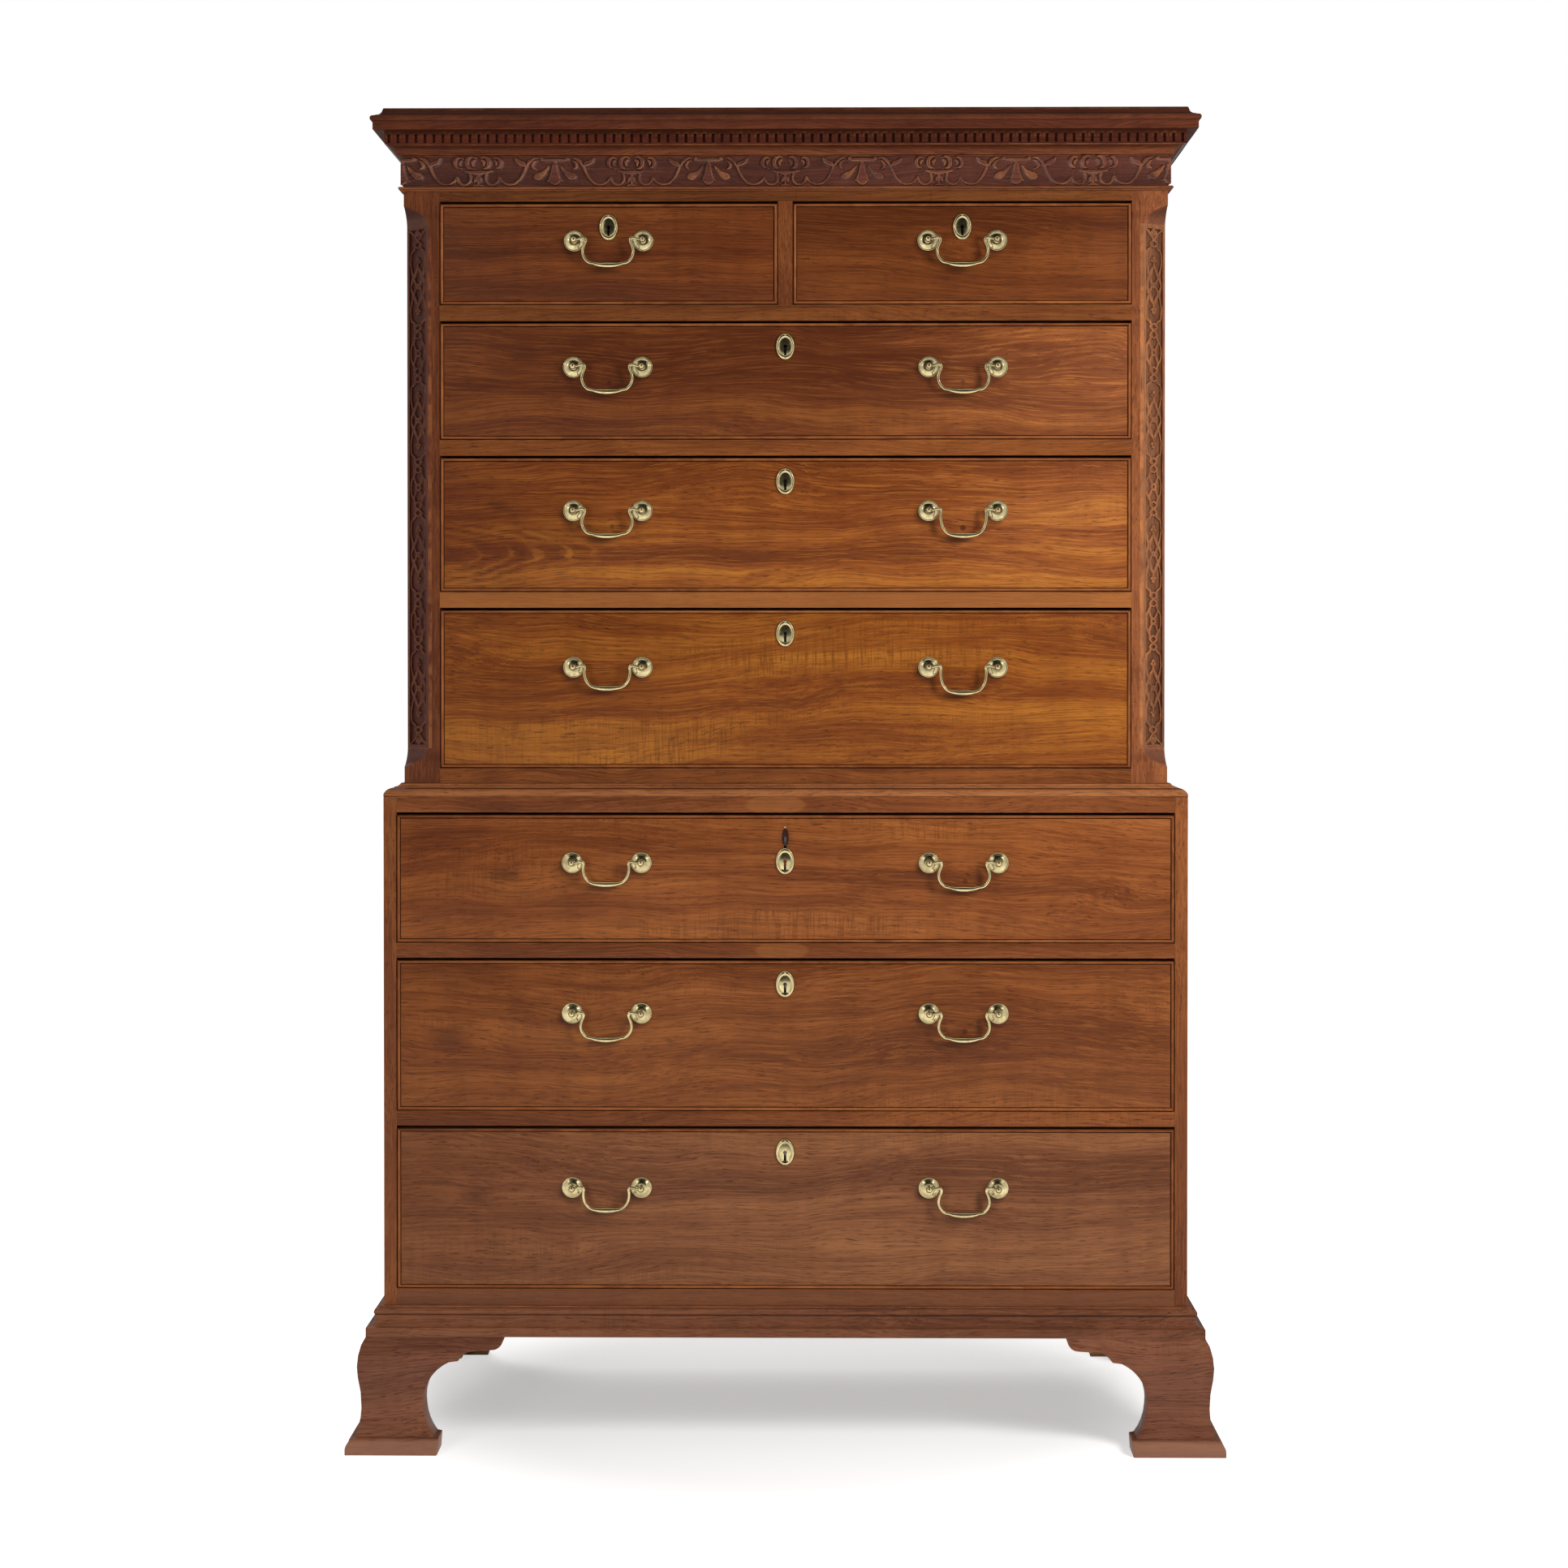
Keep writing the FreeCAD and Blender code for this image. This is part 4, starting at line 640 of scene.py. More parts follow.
def bracket(mitred):
    """A bracket in its own plane: across from the case corner, out from the case face, up."""
    heights = foot_heights()
    out = by_height(softened(outline(FOOT_SECTION), 0.9, closed=False), heights)
    window = by_height(softened(outline(FOOT_WINDOW), 1.2, closed=False), heights)
    loops = []
    for z, reach, inner in zip(heights, out, window):
        corner = -reach if mitred else 0.0
        back_corner = -FOOT_BACK if mitred else 0.0
        across = np.linspace(corner, inner - FOOT_ROUND, FOOT_COLUMNS)
        front = [(x, reach, z) for x in across]
        front += [(inner - FOOT_ROUND * 0.3, reach - FOOT_ROUND * 0.3, z), (inner, reach - FOOT_ROUND, z)]
        back = [(x, FOOT_BACK, z) for x in np.linspace(inner, back_corner, 5)]
        loops.append(front + back)
    return ring_loft(loops)


# A pale band along the lowest step of the feet: painted light on the step that faces up.
PLINTH_PAINTED_LIGHT = ((0, 10, LONG, 13, (168, 122, 98), 0.55, 0.4, 0.6),)
FOOT_LOOKS = dict(clouds=0.5, pores=0.7, marks=PLINTH_PAINTED_LIGHT)
foot_front = mahogany("foot_front_mahogany", "x", (77, 44, 32), (120, 74, 54), (147, 96, 69), **FOOT_LOOKS)
foot_side = mahogany("foot_side_mahogany", "y", (75, 43, 31), (119, 75, 53), (146, 96, 68), **FOOT_LOOKS)
low_case, high_case = box_of("lower_sides")
LOWER_HALF, FRONT, BACK = high_case[0], low_case[1], high_case[1]
foot_parts = []
for hand in (-1, 1):
    points, faces = bracket(True)
    front = metres((hand * (LOWER_HALF - x), FRONT - out, z) for x, out, z in points)
    side = metres((hand * (LOWER_HALF + out), FRONT + x, z) for x, out, z in points)
    foot_parts += [Part(front, faces, 0, 0.2 + 0.3 * hand), Part(side, faces, 1, 0.5 + 0.3 * hand)]
    points, faces = bracket(False)
    rear = metres((hand * (LOWER_HALF + out), BACK - x, z) for x, out, z in points)
    foot_parts.append(Part(rear, faces, 1, 0.4 + 0.35 * hand))
    near_edge, far_edge, shoulder, arch = REAR_BOARD
    shape = [(0, 0), (near_edge - 1, 0), (near_edge, shoulder), (far_edge, arch), (far_edge + 6, FOOT_TOP),
             (0, FOOT_TOP)]
    loops = [metres((hand * (LOWER_HALF - 6 - x), y, z) for x, z in softened(shape, 1.5))
             for y in (BACK - 20, BACK - 19.4, BACK - 0.6, BACK)]
    foot_parts.append(Part(*ring_loft(loops), 2, 0.3 * hand))
    for y in (FRONT + 6.5, BACK - 20.5 - GLUE_BLOCK):
        low, high = (LOWER_HALF - 6.5 - GLUE_BLOCK, y, 4), (LOWER_HALF - 6.5, y + GLUE_BLOCK, FOOT_TOP - 0.5)
        points, faces = rounded_box(low, high, 2.5)
        foot_parts.append(Part([(hand * across, deep, z) for across, deep, z in points], faces, 2, 0.6))
feet = make("ogee_bracket_feet", foot_parts, [foot_front, foot_side, oak])
fitted(feet, "lower_case", "mahogany", "bracket_feet")

# ---------------------------------------------------------------- base moulding
# A mitred length round the front and two sides, worked on the edge of a mahogany plinth board.
# Its ogee sits on the feet, a bead and a flat above it meet the case.
BASE_SECTION = ((-0.4, 158), (-0.4, 198), (6, 198), (6, 195), ((12.6, 190.8), (9.5, 186)), (9.5, 184),
                ((12.2, 175.5), (21, 170.5)), (22.5, 170.5), (22.5, 158))
STATION = 55.0
WAVER = 0.14


def moulding(section, half, front, seed, soft=0.5):
    """A section (out from the case, height) run round the front and both sides, mitred at the corners."""
    chance = np.random.default_rng(seed)
    line = softened(outline(section), soft)
    lengths = (("front", 2 * half), ("left", BACK - front), ("right", BACK - front))
    parts = []
    for number, (where, length) in enumerate(lengths):
        stations = np.linspace(0, 1, max(4, round(length / STATION)))
        loops = []
        for share in stations:
            drift = chance.normal(0, WAVER, 2) if 0 < share < 1 else (0.0, 0.0)
            loop = []
            for out, z in line:
                shown = out + (drift[0] if out > 1 else 0.0)
                if where == "front":
                    x, y = (2 * share - 1) * (half + out), front - shown
                else:
                    x, y = half + shown, (front - out) * (1 - share) + BACK * share
                    x = -x if where == "left" else x
                loop.append((x * MM, y * MM, z * MM))
            loops.append(loop)
        parts.append(Part(*ring_loft(loops), min(number, 1), 0.23 * number + 0.1))
    return parts


def mahogany_pair(name, *tones, ways=("x", "y"), **looks):
    """The same mahogany twice, with the grain along each way, for mitred lengths."""
    return [mahogany(f"{name}_mahogany_{way}", way, *tones, **looks) for way in ways]


base_wood = mahogany_pair("base_moulding", (76, 43, 29), (115, 70, 48), (143, 91, 62), clouds=0.45)
base = make("base_moulding_run", moulding(BASE_SECTION, LOWER_HALF, FRONT, 11), base_wood)
fitted(base, "lower_case", "mahogany", "base_moulding")

# ---------------------------------------------------------------- waist moulding
# A mitred mahogany moulding, like a small cornice, glued and nailed on top of the lower case. The upper
# case stands inside it, and dark dirt lies in its joints.
WAIST_SECTION = ((-25.5, 906), (-25.5, 924.5), (-21.5, 924.5), ((-18.5, 921.2), (-13.5, 919.7)), (-12.9, 918),
                 ((-4.6, 915.8), (0, 909.6)), (0, 906))
WAIST_JOINT = (52, 26, 16)
WAIST_LINES = tuple((0, z, LONG, half, WAIST_JOINT, 0.7, 0.5, 0.1)
                    for z, half in ((906.8, 1.3), (917.3, 1.3), (924.2, 1.0)))
waist_wood = [mahogany(f"waist_mahogany_{way}", way, (103, 58, 34), (150, 91, 53), (181, 118, 70),
                       clouds=0.25, marks=marks) for way, marks in (("x", WAIST_LINES), ("y", ()))]
waist_run = moulding(WAIST_SECTION, LOWER_HALF, FRONT, 12, soft=0.4)
fitted(make("waist_moulding_run", waist_run, waist_wood), "lower_case", "mahogany", "waist_moulding")

# ---------------------------------------------------------------- upper case: sides and rails
# Narrower than the lower case. Side boards run back from the corner posts, and the rails and the short
# muntin between the posts are faced with the same mahogany. The top rail carries the frieze.


JOINT = (40, 20, 12)


def upright(spans):
    return 1 if spans[2] > spans[0] else 0


upper_side_wood = mahogany("upper_side_mahogany", "z", (88, 46, 26), (130, 76, 42), (158, 96, 54), clouds=0.2)
upper_rail_wood = mahogany("upper_rail_mahogany", "x", (84, 42, 20), (128, 72, 35), (160, 96, 47), figure=0.6,
                           marks=((0, 1743, LONG, 11, JOINT, 0.42, 0.3, 0.1),
                                  (0, 1581, LONG, 14, JOINT, 0.25, 0.3, 0.1),
                                  (80, 1180, LONG, 14, PATCHED, 0.36, 0.3, 0.6),
                                  (15, 1743, 0.6, 9, JOINT, 0.6, 0.5, 0.0),
                                  (203, 1743, 0.6, 9, JOINT, 0.6, 0.5, 0.0)))
muntin_wood = mahogany("muntin_mahogany", "z", (72, 36, 21), (108, 58, 31), (138, 80, 42))
upper_sides = eased("upper_sides", "upper_side_boards", [upper_side_wood], SIDE_EASE)
fitted(upper_sides, "upper_case", "mahogany", "upper_sides")
upper_rails = eased("upper_rails", "upper_front_rails", [upper_rail_wood, muntin_wood], RAIL_EASE, upright)
fitted(upper_rails, "upper_case", "mahogany", "upper_rails")

# ---------------------------------------------------------------- corner posts with blind frets
# Each post is square at its ends and canted between, where a sunk panel holds a sawn fret of mahogany
# glued to the ground. Lamb's tongues end the cant above and below.
POST = 50.0
CANT = 33.5
FRET_THICK = 3.4
TONGUE = 26.0
CANT_LOW, CANT_HIGH = 947.0, 1730.5
PANEL_LOW, PANEL_HIGH = 978.0, 1699.5
PANEL_HALF = 18.2
RECESS = 3.0
CELL = 0.72
STRAP = 1.6
FRET_END = 15.6
LEAST_CUT = 0.06
SMALL_UNIT = 61.8
TALL_UNIT = (PANEL_HIGH - PANEL_LOW - 2 * FRET_END - 3 * SMALL_UNIT) / 4
Panel = namedtuple("Panel", "field across up")


def carve(panel, line, half_width, height, edge=0.8):
    """Raises a strap along a line on a height field. The widths are one number or one for each point."""
    points = np.array(line, float)
    widths = np.broadcast_to(np.asarray(half_width, float), (len(points),))
    for start, end, near, far in zip(points[:-1], points[1:], widths[:-1], widths[1:]):
        reach = max(near, far) + CELL
        low, high = np.minimum(start, end) - reach, np.maximum(start, end) + reach
        columns = slice(*np.searchsorted(panel.across, (low[0], high[0])))
        rows = slice(*np.searchsorted(panel.up, (low[1], high[1])))
        x, z = np.meshgrid(panel.across[columns], panel.up[rows])
        way = end - start
        share = np.clip(((x - start[0]) * way[0] + (z - start[1]) * way[1]) / max(way @ way, 1e-9), 0, 1)
        away = np.hypot(x - start[0] - share * way[0], z - start[1] - share * way[1])
        inside = np.clip((near + (far - near) * share + 0.25 - away) / edge, 0, 1)
        raised = height * np.sin(inside * math.pi / 2)
        panel.field[rows, columns] = np.maximum(panel.field[rows, columns], raised)


def beside(raised):
    """The points that touch raised ones, where dark outlines of painted shade go."""
    wide = np.pad(raised, 1)
    return wide[:-2, 1:-1] | wide[2:, 1:-1] | wide[1:-1, :-2] | wide[1:-1, 2:]


def flowing(points, steps=7):
    """A smooth line through points."""
    line = np.array(points, float)
    ends = np.vstack([2 * line[0] - line[1], line, 2 * line[-1] - line[-2]])
    made = []
    for a, b, c, d in zip(ends[:-3], ends[1:-2], ends[2:-1], ends[3:]):
        for t in np.linspace(0, 1, steps, endpoint=False):
            bend, twist = 2 * a - 5 * b + 4 * c - d, 3 * b - a - 3 * c + d
            made.append(0.5 * (2 * b + (c - a) * t + bend * t ** 2 + twist * t ** 3))
    return np.array(made + [line[-1]])


def height_slab(field, across, up, place):
    """A closed board whose front follows a height field: place turns (across, height, up) into a point."""
    rows, columns = field.shape
    front = [place(across[c], field[r, c], up[r]) for r in range(rows) for c in range(columns)]
    index = np.arange(rows * columns).reshape(rows, columns)
    cells = np.stack([index[:-1, :-1], index[:-1, 1:], index[1:, 1:], index[1:, :-1]], axis=-1).reshape(-1, 4)
    rim = np.concatenate([index[0], index[1:, -1], index[-1, -2::-1], index[-2:0:-1, 0]])
    behind = [place(across[i % columns], None, up[i // columns]) for i in rim]
    base = rows * columns
    walls = [(rim[k], rim[(k + 1) % len(rim)], base + (k + 1) % len(rim), base + k) for k in range(len(rim))]
    middle = base + len(rim)
    behind.append(place(across[columns // 2], None, up[rows // 2]))
    back = [(base + k, base + (k + 1) % len(rim), middle) for k in range(len(rim))]
    return front + behind, cells.tolist() + walls + back


def dot(panel, x, z, radius):
    carve(panel, [(x, z), (x, z + 0.01)], radius, RECESS)


def strap(panel, points, middle, hand=1, way=1, width=STRAP):
    """A smooth strap of the fret. Hand and way mirror it across and up, about a height."""
    carve(panel, flowing([(hand * x, middle + way * z) for x, z in points]), width, RECESS)


def tall_unit(panel, middle, half):
    """A pair of long ovals crossing, with a three-lobed bud in each end."""
    for way in (-1, 1):
        for hand in (-1, 1):
            strap(panel, [(0, half), (6.4, half - 4), (5.6, half - 8.5), (8, half - 12), (14.2, half - 16),
                          (15.6, half - 24), (15.4, half - 35), (9.0, half - 52), (0.8, half - 66)],
                  middle, hand, way)
            strap(panel, [(0.5, half - 37), (7.2, half - 50), (15.2, half - 64), (8.0, half - 80),
                          (2, half - 88)], middle, hand, way, STRAP * 0.9)
        strap(panel, [(-6.2, half - 5.5), (0, half - 9.5), (6.2, half - 5.5)], middle, 1, way, STRAP * 0.9)
        bud = middle + way * (half - 31)
        for across, up, radius in ((0, 5.75, 2.875), (-2.99, 1.84, 2.185), (2.99, 1.84, 2.185)):
            dot(panel, across, bud + way * up, radius)
        carve(panel, [(0, bud), (0, bud - way * 5.75)], 1.1, RECESS)
        carve(panel, [(0, bud), (0, bud - way * 7)], 1.2, RECESS)


def small_unit(panel, middle, half):
    """A short oval with a pierced ring at its centre, held by four straps."""
    for way in (-1, 1):
        for hand in (-1, 1):
            strap(panel, [(0, half), (6.2, half - 4.5), (6.8, half - 11), (9.5, half - 15.5),
                          (14.4, half - 22), (15.6, 0)], middle, hand, way)
            strap(panel, [(3.2, 3.6), (6.5, 9), (9.6, half - 15.5)], middle, hand, way)
        strap(panel, [(-6.0, half - 7.5), (0, half - 10.5), (6.0, half - 7.5)], middle, 1, way, STRAP * 0.9)
    ring = [(4.0 * math.cos(a), middle + 4.0 * math.sin(a)) for a in np.linspace(0, 2 * math.pi, 19)]
    carve(panel, ring, STRAP * 1.1, RECESS)


def end_unit(panel, end, way):
    """Straps from the panel's corners meet round a spade."""
    for hand in (-1, 1):
        strap(panel, [(PANEL_HALF, 0), (8.5, 6.5), (0, FRET_END)], end, hand, way)
        dot(panel, hand * 3.0, end + way * 5.5, 3.2)
    carve(panel, [(0, end + way * 3), (0, end + way * 10.5)], [3.4, 0.9], RECESS)


def fret_field():
    """Heights over the whole cant face: frame level 0, sunk ground, and the fret on it."""
    half_face = CANT / math.sqrt(2)
    across = np.linspace(-half_face, half_face, 2 * round(half_face / CELL) + 1)
    up = np.linspace(CANT_LOW + TONGUE, CANT_HIGH - TONGUE, round((CANT_HIGH - CANT_LOW - 2 * TONGUE) / CELL))
    fret = Panel(np.zeros((len(up), len(across))), across, up)
    end_unit(fret, PANEL_LOW, 1)
    end_unit(fret, PANEL_HIGH, -1)
    level = PANEL_LOW + FRET_END
    for number in range(7):
        height, shape = (SMALL_UNIT, small_unit) if number % 2 else (TALL_UNIT, tall_unit)
        shape(fret, level + height / 2, height / 2)
        level += height
    x, z = np.meshgrid(across, up)
    inside = np.minimum(PANEL_HALF - np.abs(x), np.minimum(z - PANEL_LOW, PANEL_HIGH - z))
    sunk = np.clip(inside / 0.7 + 0.5, 0, 1)
    raised = fret.field
    # The sunk ground is darkened with dark wax, and the points beside the straps most of all as painted
    # shade.
    shade = np.clip(1 - raised / RECESS, 0, 1) * sunk * np.where(beside(raised > 0.3 * RECESS), 1.0, 0.5)
    return across, up, -RECESS * sunk + raised * sunk * 0.94, shade


def cant_depth(z):
    """How far the corner is cut back at a height, with lamb's tongues at both ends."""
    run = min(z - CANT_LOW, CANT_HIGH - z) / TONGUE
    if run <= 0:
        return LEAST_CUT
    return max(LEAST_CUT, CANT * min(1.0, math.sin(min(run, 1.0) * math.pi / 2) ** 0.8))


post_low, post_high = box_of("corner_posts")
UPPER_HALF, UPPER_FRONT = post_high[0], post_low[1]
# Dark soft marks in the lamb's tongue scoops at both ends of each cant: painted shade.
SCOOP_SHADE = tuple((z, -211, 15, 24, (56, 26, 19), 0.5, 0.4, 0.1) for z in (960, 1717))
# The left post and fret take darker tones as painted shade and the right ones lighter tones as painted light;
# the right fret's stronger pale edge rub is painted highlight.
POST_TONES_SHADED_AND_LIT = {"left": ((72, 36, 22), (108, 58, 33), (134, 80, 46)),
              "right": ((86, 45, 28), (132, 76, 45), (162, 100, 60))}
FRET_TONES_SHADED_AND_LIT = {"left": ((61, 27, 20), (94, 47, 33), (119, 66, 46)),
              "right": ((80, 44, 29), (137, 87, 57), (170, 116, 80))}
FRET_WEAR_AND_HIGHLIGHT = {"left": 1.0, "right": 2.2}
post_wood = {side: mahogany(f"post_mahogany_{side}", "z", *tones, clouds=0.3, marks=SCOOP_SHADE)
             for side, tones in POST_TONES_SHADED_AND_LIT.items()}
fret_wood = {side: mahogany(f"fret_mahogany_{side}", "z", *tones, clouds=0.3, rubbed=FRET_WEAR_AND_HIGHLIGHT[side])
             for side, tones in FRET_TONES_SHADED_AND_LIT.items()}
fret_across, fret_up, fret_heights, fret_shade = fret_field()
behind = FRET_THICK * math.sqrt(2)
levels = np.concatenate([[post_low[2], CANT_LOW], np.linspace(CANT_LOW, CANT_LOW + TONGUE, 15)[1:]])
for hand, side in ((-1, "left"), (1, "right")):
    upper_levels = CANT_LOW + CANT_HIGH - levels[:0:-1]
    stations = [(z, cant_depth(z)) for z in levels] + [(levels[-1] + 0.01, CANT + behind)]
    stations += [(upper_levels[0] - 0.01, CANT + behind)] + [(z, cant_depth(z)) for z in upper_levels]
    stations.append((post_high[2], LEAST_CUT))
    loops = []
    for z, cut in stations:
        plan = ((POST, POST), (POST, 0), (cut, 0), (0, cut), (0, POST))
        loops.append(metres((hand * (UPPER_HALF - inward), UPPER_FRONT + deep, z) for inward, deep in plan))

    def on_cant(across, height, z, hand=hand):
        depth = -FRET_THICK if height is None else height
        spread = across * (1 - depth / (CANT / math.sqrt(2)))
        out = (UPPER_HALF - CANT / 2 + (spread + depth) / math.sqrt(2)) * MM
        return hand * out, (UPPER_FRONT + CANT / 2 + (spread - depth) / math.sqrt(2)) * MM, z * MM

    points, faces = height_slab(fret_heights, fret_across, fret_up, on_cant)
    # The fret's points carry its wax and painted shade.
    grime = np.zeros(len(points))
    grime[:fret_shade.size] = fret_shade.ravel()
    post_parts = [Part(*ring_loft(loops), 0, 0.3 + 0.2 * hand), Part(points, faces, 1, 0.1, grime)]
    post = make(f"corner_post_{side}", post_parts, [post_wood[side], fret_wood[side]], sharp=40)
    fitted(post, "upper_case", "mahogany", "corner_posts")

# ---------------------------------------------------------------- upper case: inner boards and back
# Oak bottom, dust boards and drawer guides, housed in the sides, and a back of level softwood planks
# nailed into rebates.
refinished("upper_boards", oak)
fitted(planked_back("upper_back", "upper_back_planks", 5, pine), "upper_case", "back_wood", "upper_back")

# ---------------------------------------------------------------- carved frieze and astragal
# A thin band of mahogany carved with husks on dishes, swags and leaf scrolls, glued on above the drawers,
# with a small half-round moulding under it.
ASTRAGAL_SECTION = ((-0.3, 1750.5), (-0.3, 1756.5), (4.5, 1756.5), ((7, 1754.3), (4.5, 1752.1)),
                    (4.5, 1750.5))
BAND_LOW = 1756.5
BAND_HIGH = 1800.0
GROUND = 0.7
RELIEF = 3.5
MOTIF = 106.6
PUNCH = 0.8
CARVE_CELL = 0.74


# Leaves: points, stops along them, half widths there, height and edge.
SCROLL = (
    (((-4.4, 6.6), (-0.6, 8.0), (3.8, 6.4), (6.0, 1.8), (5.6, -3.2), (2.4, -7.0), (-2.2, -8.0)),
     (0, 0.2, 0.5, 0.8, 1), (1.0, 2.2, 2.9, 2.2, 0.8), RELIEF, 1.5),
    (((-3.4, 3.4), (-0.8, 1.0), (-1.0, -3.4)), (0, 0.5, 1), (1.8, 2.3, 1.0), RELIEF * 0.85, 1.5))
PETAL = (((0, 14.5), (2.6, 11.5), (4.2, 7.0)), (0, 0.6, 1), (1.2, 2.4, 0.9), RELIEF, 0.8)
LOBE = (((8.2, 28.5), (14.5, 20.5), (21.0, 15.5), (25.4, 13.8)), (0, 0.4, 0.8, 1), (1.2, 3.4, 5.6, 4.4),
        RELIEF * 0.8, 1.4)
ACANTHUS = (
    (((39.0, 28.0), (44.0, 31.6), (50.0, 34.2), (54.6, 39.6)), (0, 0.35, 0.75, 1), (1.2, 3.9, 3.2, 1.2),
     RELIEF, 1.8),
    (((38.6, 29.0), (35.0, 34.6), (30.0, 38.6), (24.4, 40.6)), (0, 0.4, 0.8, 1), (1.6, 2.8, 1.9, 0.8),
     RELIEF * 0.95, 1.6),
    (((24.6, 36.2), (28.6, 34.0), (30.6, 30.2), (29.4, 26.4), (26.2, 24.2)), (0, 0.4, 0.8, 1),
     (0.9, 2.1, 1.8, 0.8), RELIEF, 1.3))


def leaf(panel, shape, hand, x=0.0, z=0.0, size=1.0):
    """A flowing leaf about a point, mirrored by hand."""
    points, stops, widths, height, edge = shape
    line = flowing([(x + hand * dx * size, z + dz * size) for dx, dz in points])
    carve(panel, line, np.interp(np.linspace(0, 1, len(line)), stops, widths) * size, height, edge)


def husk_on_dish(panel):
    """Four leaf scrolls, each curled into a C, over a shallow dish on a petalled foot, centred on zero."""
    for hand in (-1, 1):
        for shape in SCROLL:
            leaf(panel, shape, hand, hand * 8.9, 33.2, 1.04)
            leaf(panel, shape, hand, hand * 26.0, 33.0, 0.92)
        leaf(panel, PETAL, hand)
        for line, width, height, edge in (
                (((0, 19.8), (12.0, 20.2), (19.0, 21.6)), (2.3, 2.0, 0.9), 1.0, 0.9),
                (((8.5, 20.0), (5.0, 17.4), (0, 16.8)), 1.4, 0.9, 1.4),
                (((0, 2.6), (5.4, 1.6)), (1.6, 1.0), 1.0, 0.8)):
            carve(panel, [(hand * x, z) for x, z in line], width, RELIEF * height, edge)
    carve(panel, [(0, 19.0), (0, 2.5)], [2.6, 1.3], RELIEF * 0.8, 1.2)


def tongue_and_lobes(panel, centre):
    """A short bar with rolled ends over a tongue, two punched lobes and two acanthus scrolls."""
    punched = panel._replace(field=np.zeros_like(panel.field))
    roll = [(17.2 + 1.5 * math.cos(a), 38.4 + 1.5 * math.sin(a)) for a in np.linspace(-0.5, 4.6, 12)]
    for line, width, height, edge in (
            (((-14.5, 37.0), (14.5, 37.0)), 2.2, 1.0, 1.2),
            (((0, 34.0), (0, 31.5)), (2.4, 1.4), 0.8, 1.2),
            (((0, 29.0), (0, 22.0), (0, 15.0), (0, 10.5), (0, 7.6)), (3.8, 4.8, 6.6, 8.2, 5.6), 0.92, 1.3),
            (roll, 1.6, 1.0, 1.5), ([(-x, z) for x, z in roll], 1.6, 1.0, 1.5),
            (((5.8, 9.6), (9.4, 8.2)), (2.4, 1.2), 0.92, 1.2),
            (((-5.8, 9.6), (-9.4, 8.2)), (2.4, 1.2), 0.92, 1.2)):
        carve(panel, [(centre + x, z) for x, z in line], width, RELIEF * height, edge)
    for hand in (-1, 1):
        leaf(punched, LOBE, hand, centre)
        for shape in ACANTHUS:
            leaf(panel, shape, hand, centre)
    dots = np.sin(panel.across[None, :] * 2.2) * np.sin(panel.up[:, None] * 2.2 + 0.6) > 0.25
    lobes = punched.field - PUNCH * (punched.field > RELIEF * 0.6) * dots
    panel.field[:] = np.maximum(panel.field, lobes)


def half_motif():
    """Heights from the middle of a husk to the middle of a tongue."""
    across = np.linspace(0, MOTIF, round(MOTIF / CARVE_CELL) + 1)
    up = np.linspace(0, BAND_HIGH - BAND_LOW, round((BAND_HIGH - BAND_LOW) / CARVE_CELL) + 1)
    panel = Panel(np.zeros((len(up), len(across))), across, up)
    husk_on_dish(panel)
    tongue_and_lobes(panel, MOTIF)
    hanging = [(11.0, 16.8), (10.4, 9.6), (14.6, 3.9), (21.4, 2.9), (27.0, 6.8), (29.4, 12.9)]
    swag = [(29.4, 12.9), (33.2, 7.6), (40.4, 3.6), (49.8, 4.0), (57.4, 9.8), (63.4, 19.5), (66.5, 27.5)]
    for line in (hanging, swag):
        carve(panel, flowing(line), 1.45, RELIEF * 0.82)
    return panel.field, up


half_field, band_up = half_motif()
# The carved ground is darkened with dark wax, and the points beside the raised carving most of all as painted
# shade.
half_shade = np.clip(1 - half_field / (0.5 * RELIEF), 0, 1)
half_shade *= np.where(beside(half_field > 0.3 * RELIEF), 1.0, 0.5)


def run_of(half, units):
    """Half motifs side by side, turned about one after another from the middle of a tongue."""
    halves = [half if number % 2 else half[:, ::-1] for number in range(units)]
    return np.concatenate([halves[0], *(other[:, 1:] for other in halves[1:])], axis=1)


def band_part(finish, units, length, place):
    heights, shade = run_of(half_field, units) + GROUND, run_of(half_shade, units)
    heights = heights + np.random.default_rng(21).normal(0, 0.03, heights.shape)
    points, faces = height_slab(heights, np.linspace(0, length, heights.shape[1]), band_up + BAND_LOW, place)
    # The carving's points carry its wax and painted shade.
    grime = np.zeros(len(points))
    grime[:shade.size] = shade.ravel()
    return Part(points, faces, finish, 0.4, grime)


def on_front(across, height, z):
    out = -0.4 if height is None else height
    x = (across - UPPER_HALF) * (1 + max(out, 0) / UPPER_HALF)
    return x * MM, (UPPER_FRONT - out) * MM, z * MM


def on_side(hand):
    depth = BACK - UPPER_FRONT

    def place(across, height, z):
        out = -0.4 if height is None else height
        y = UPPER_FRONT - max(out, 0) + across * (depth + max(out, 0)) / depth
        return hand * (UPPER_HALF + out) * MM, y * MM, z * MM

    return place


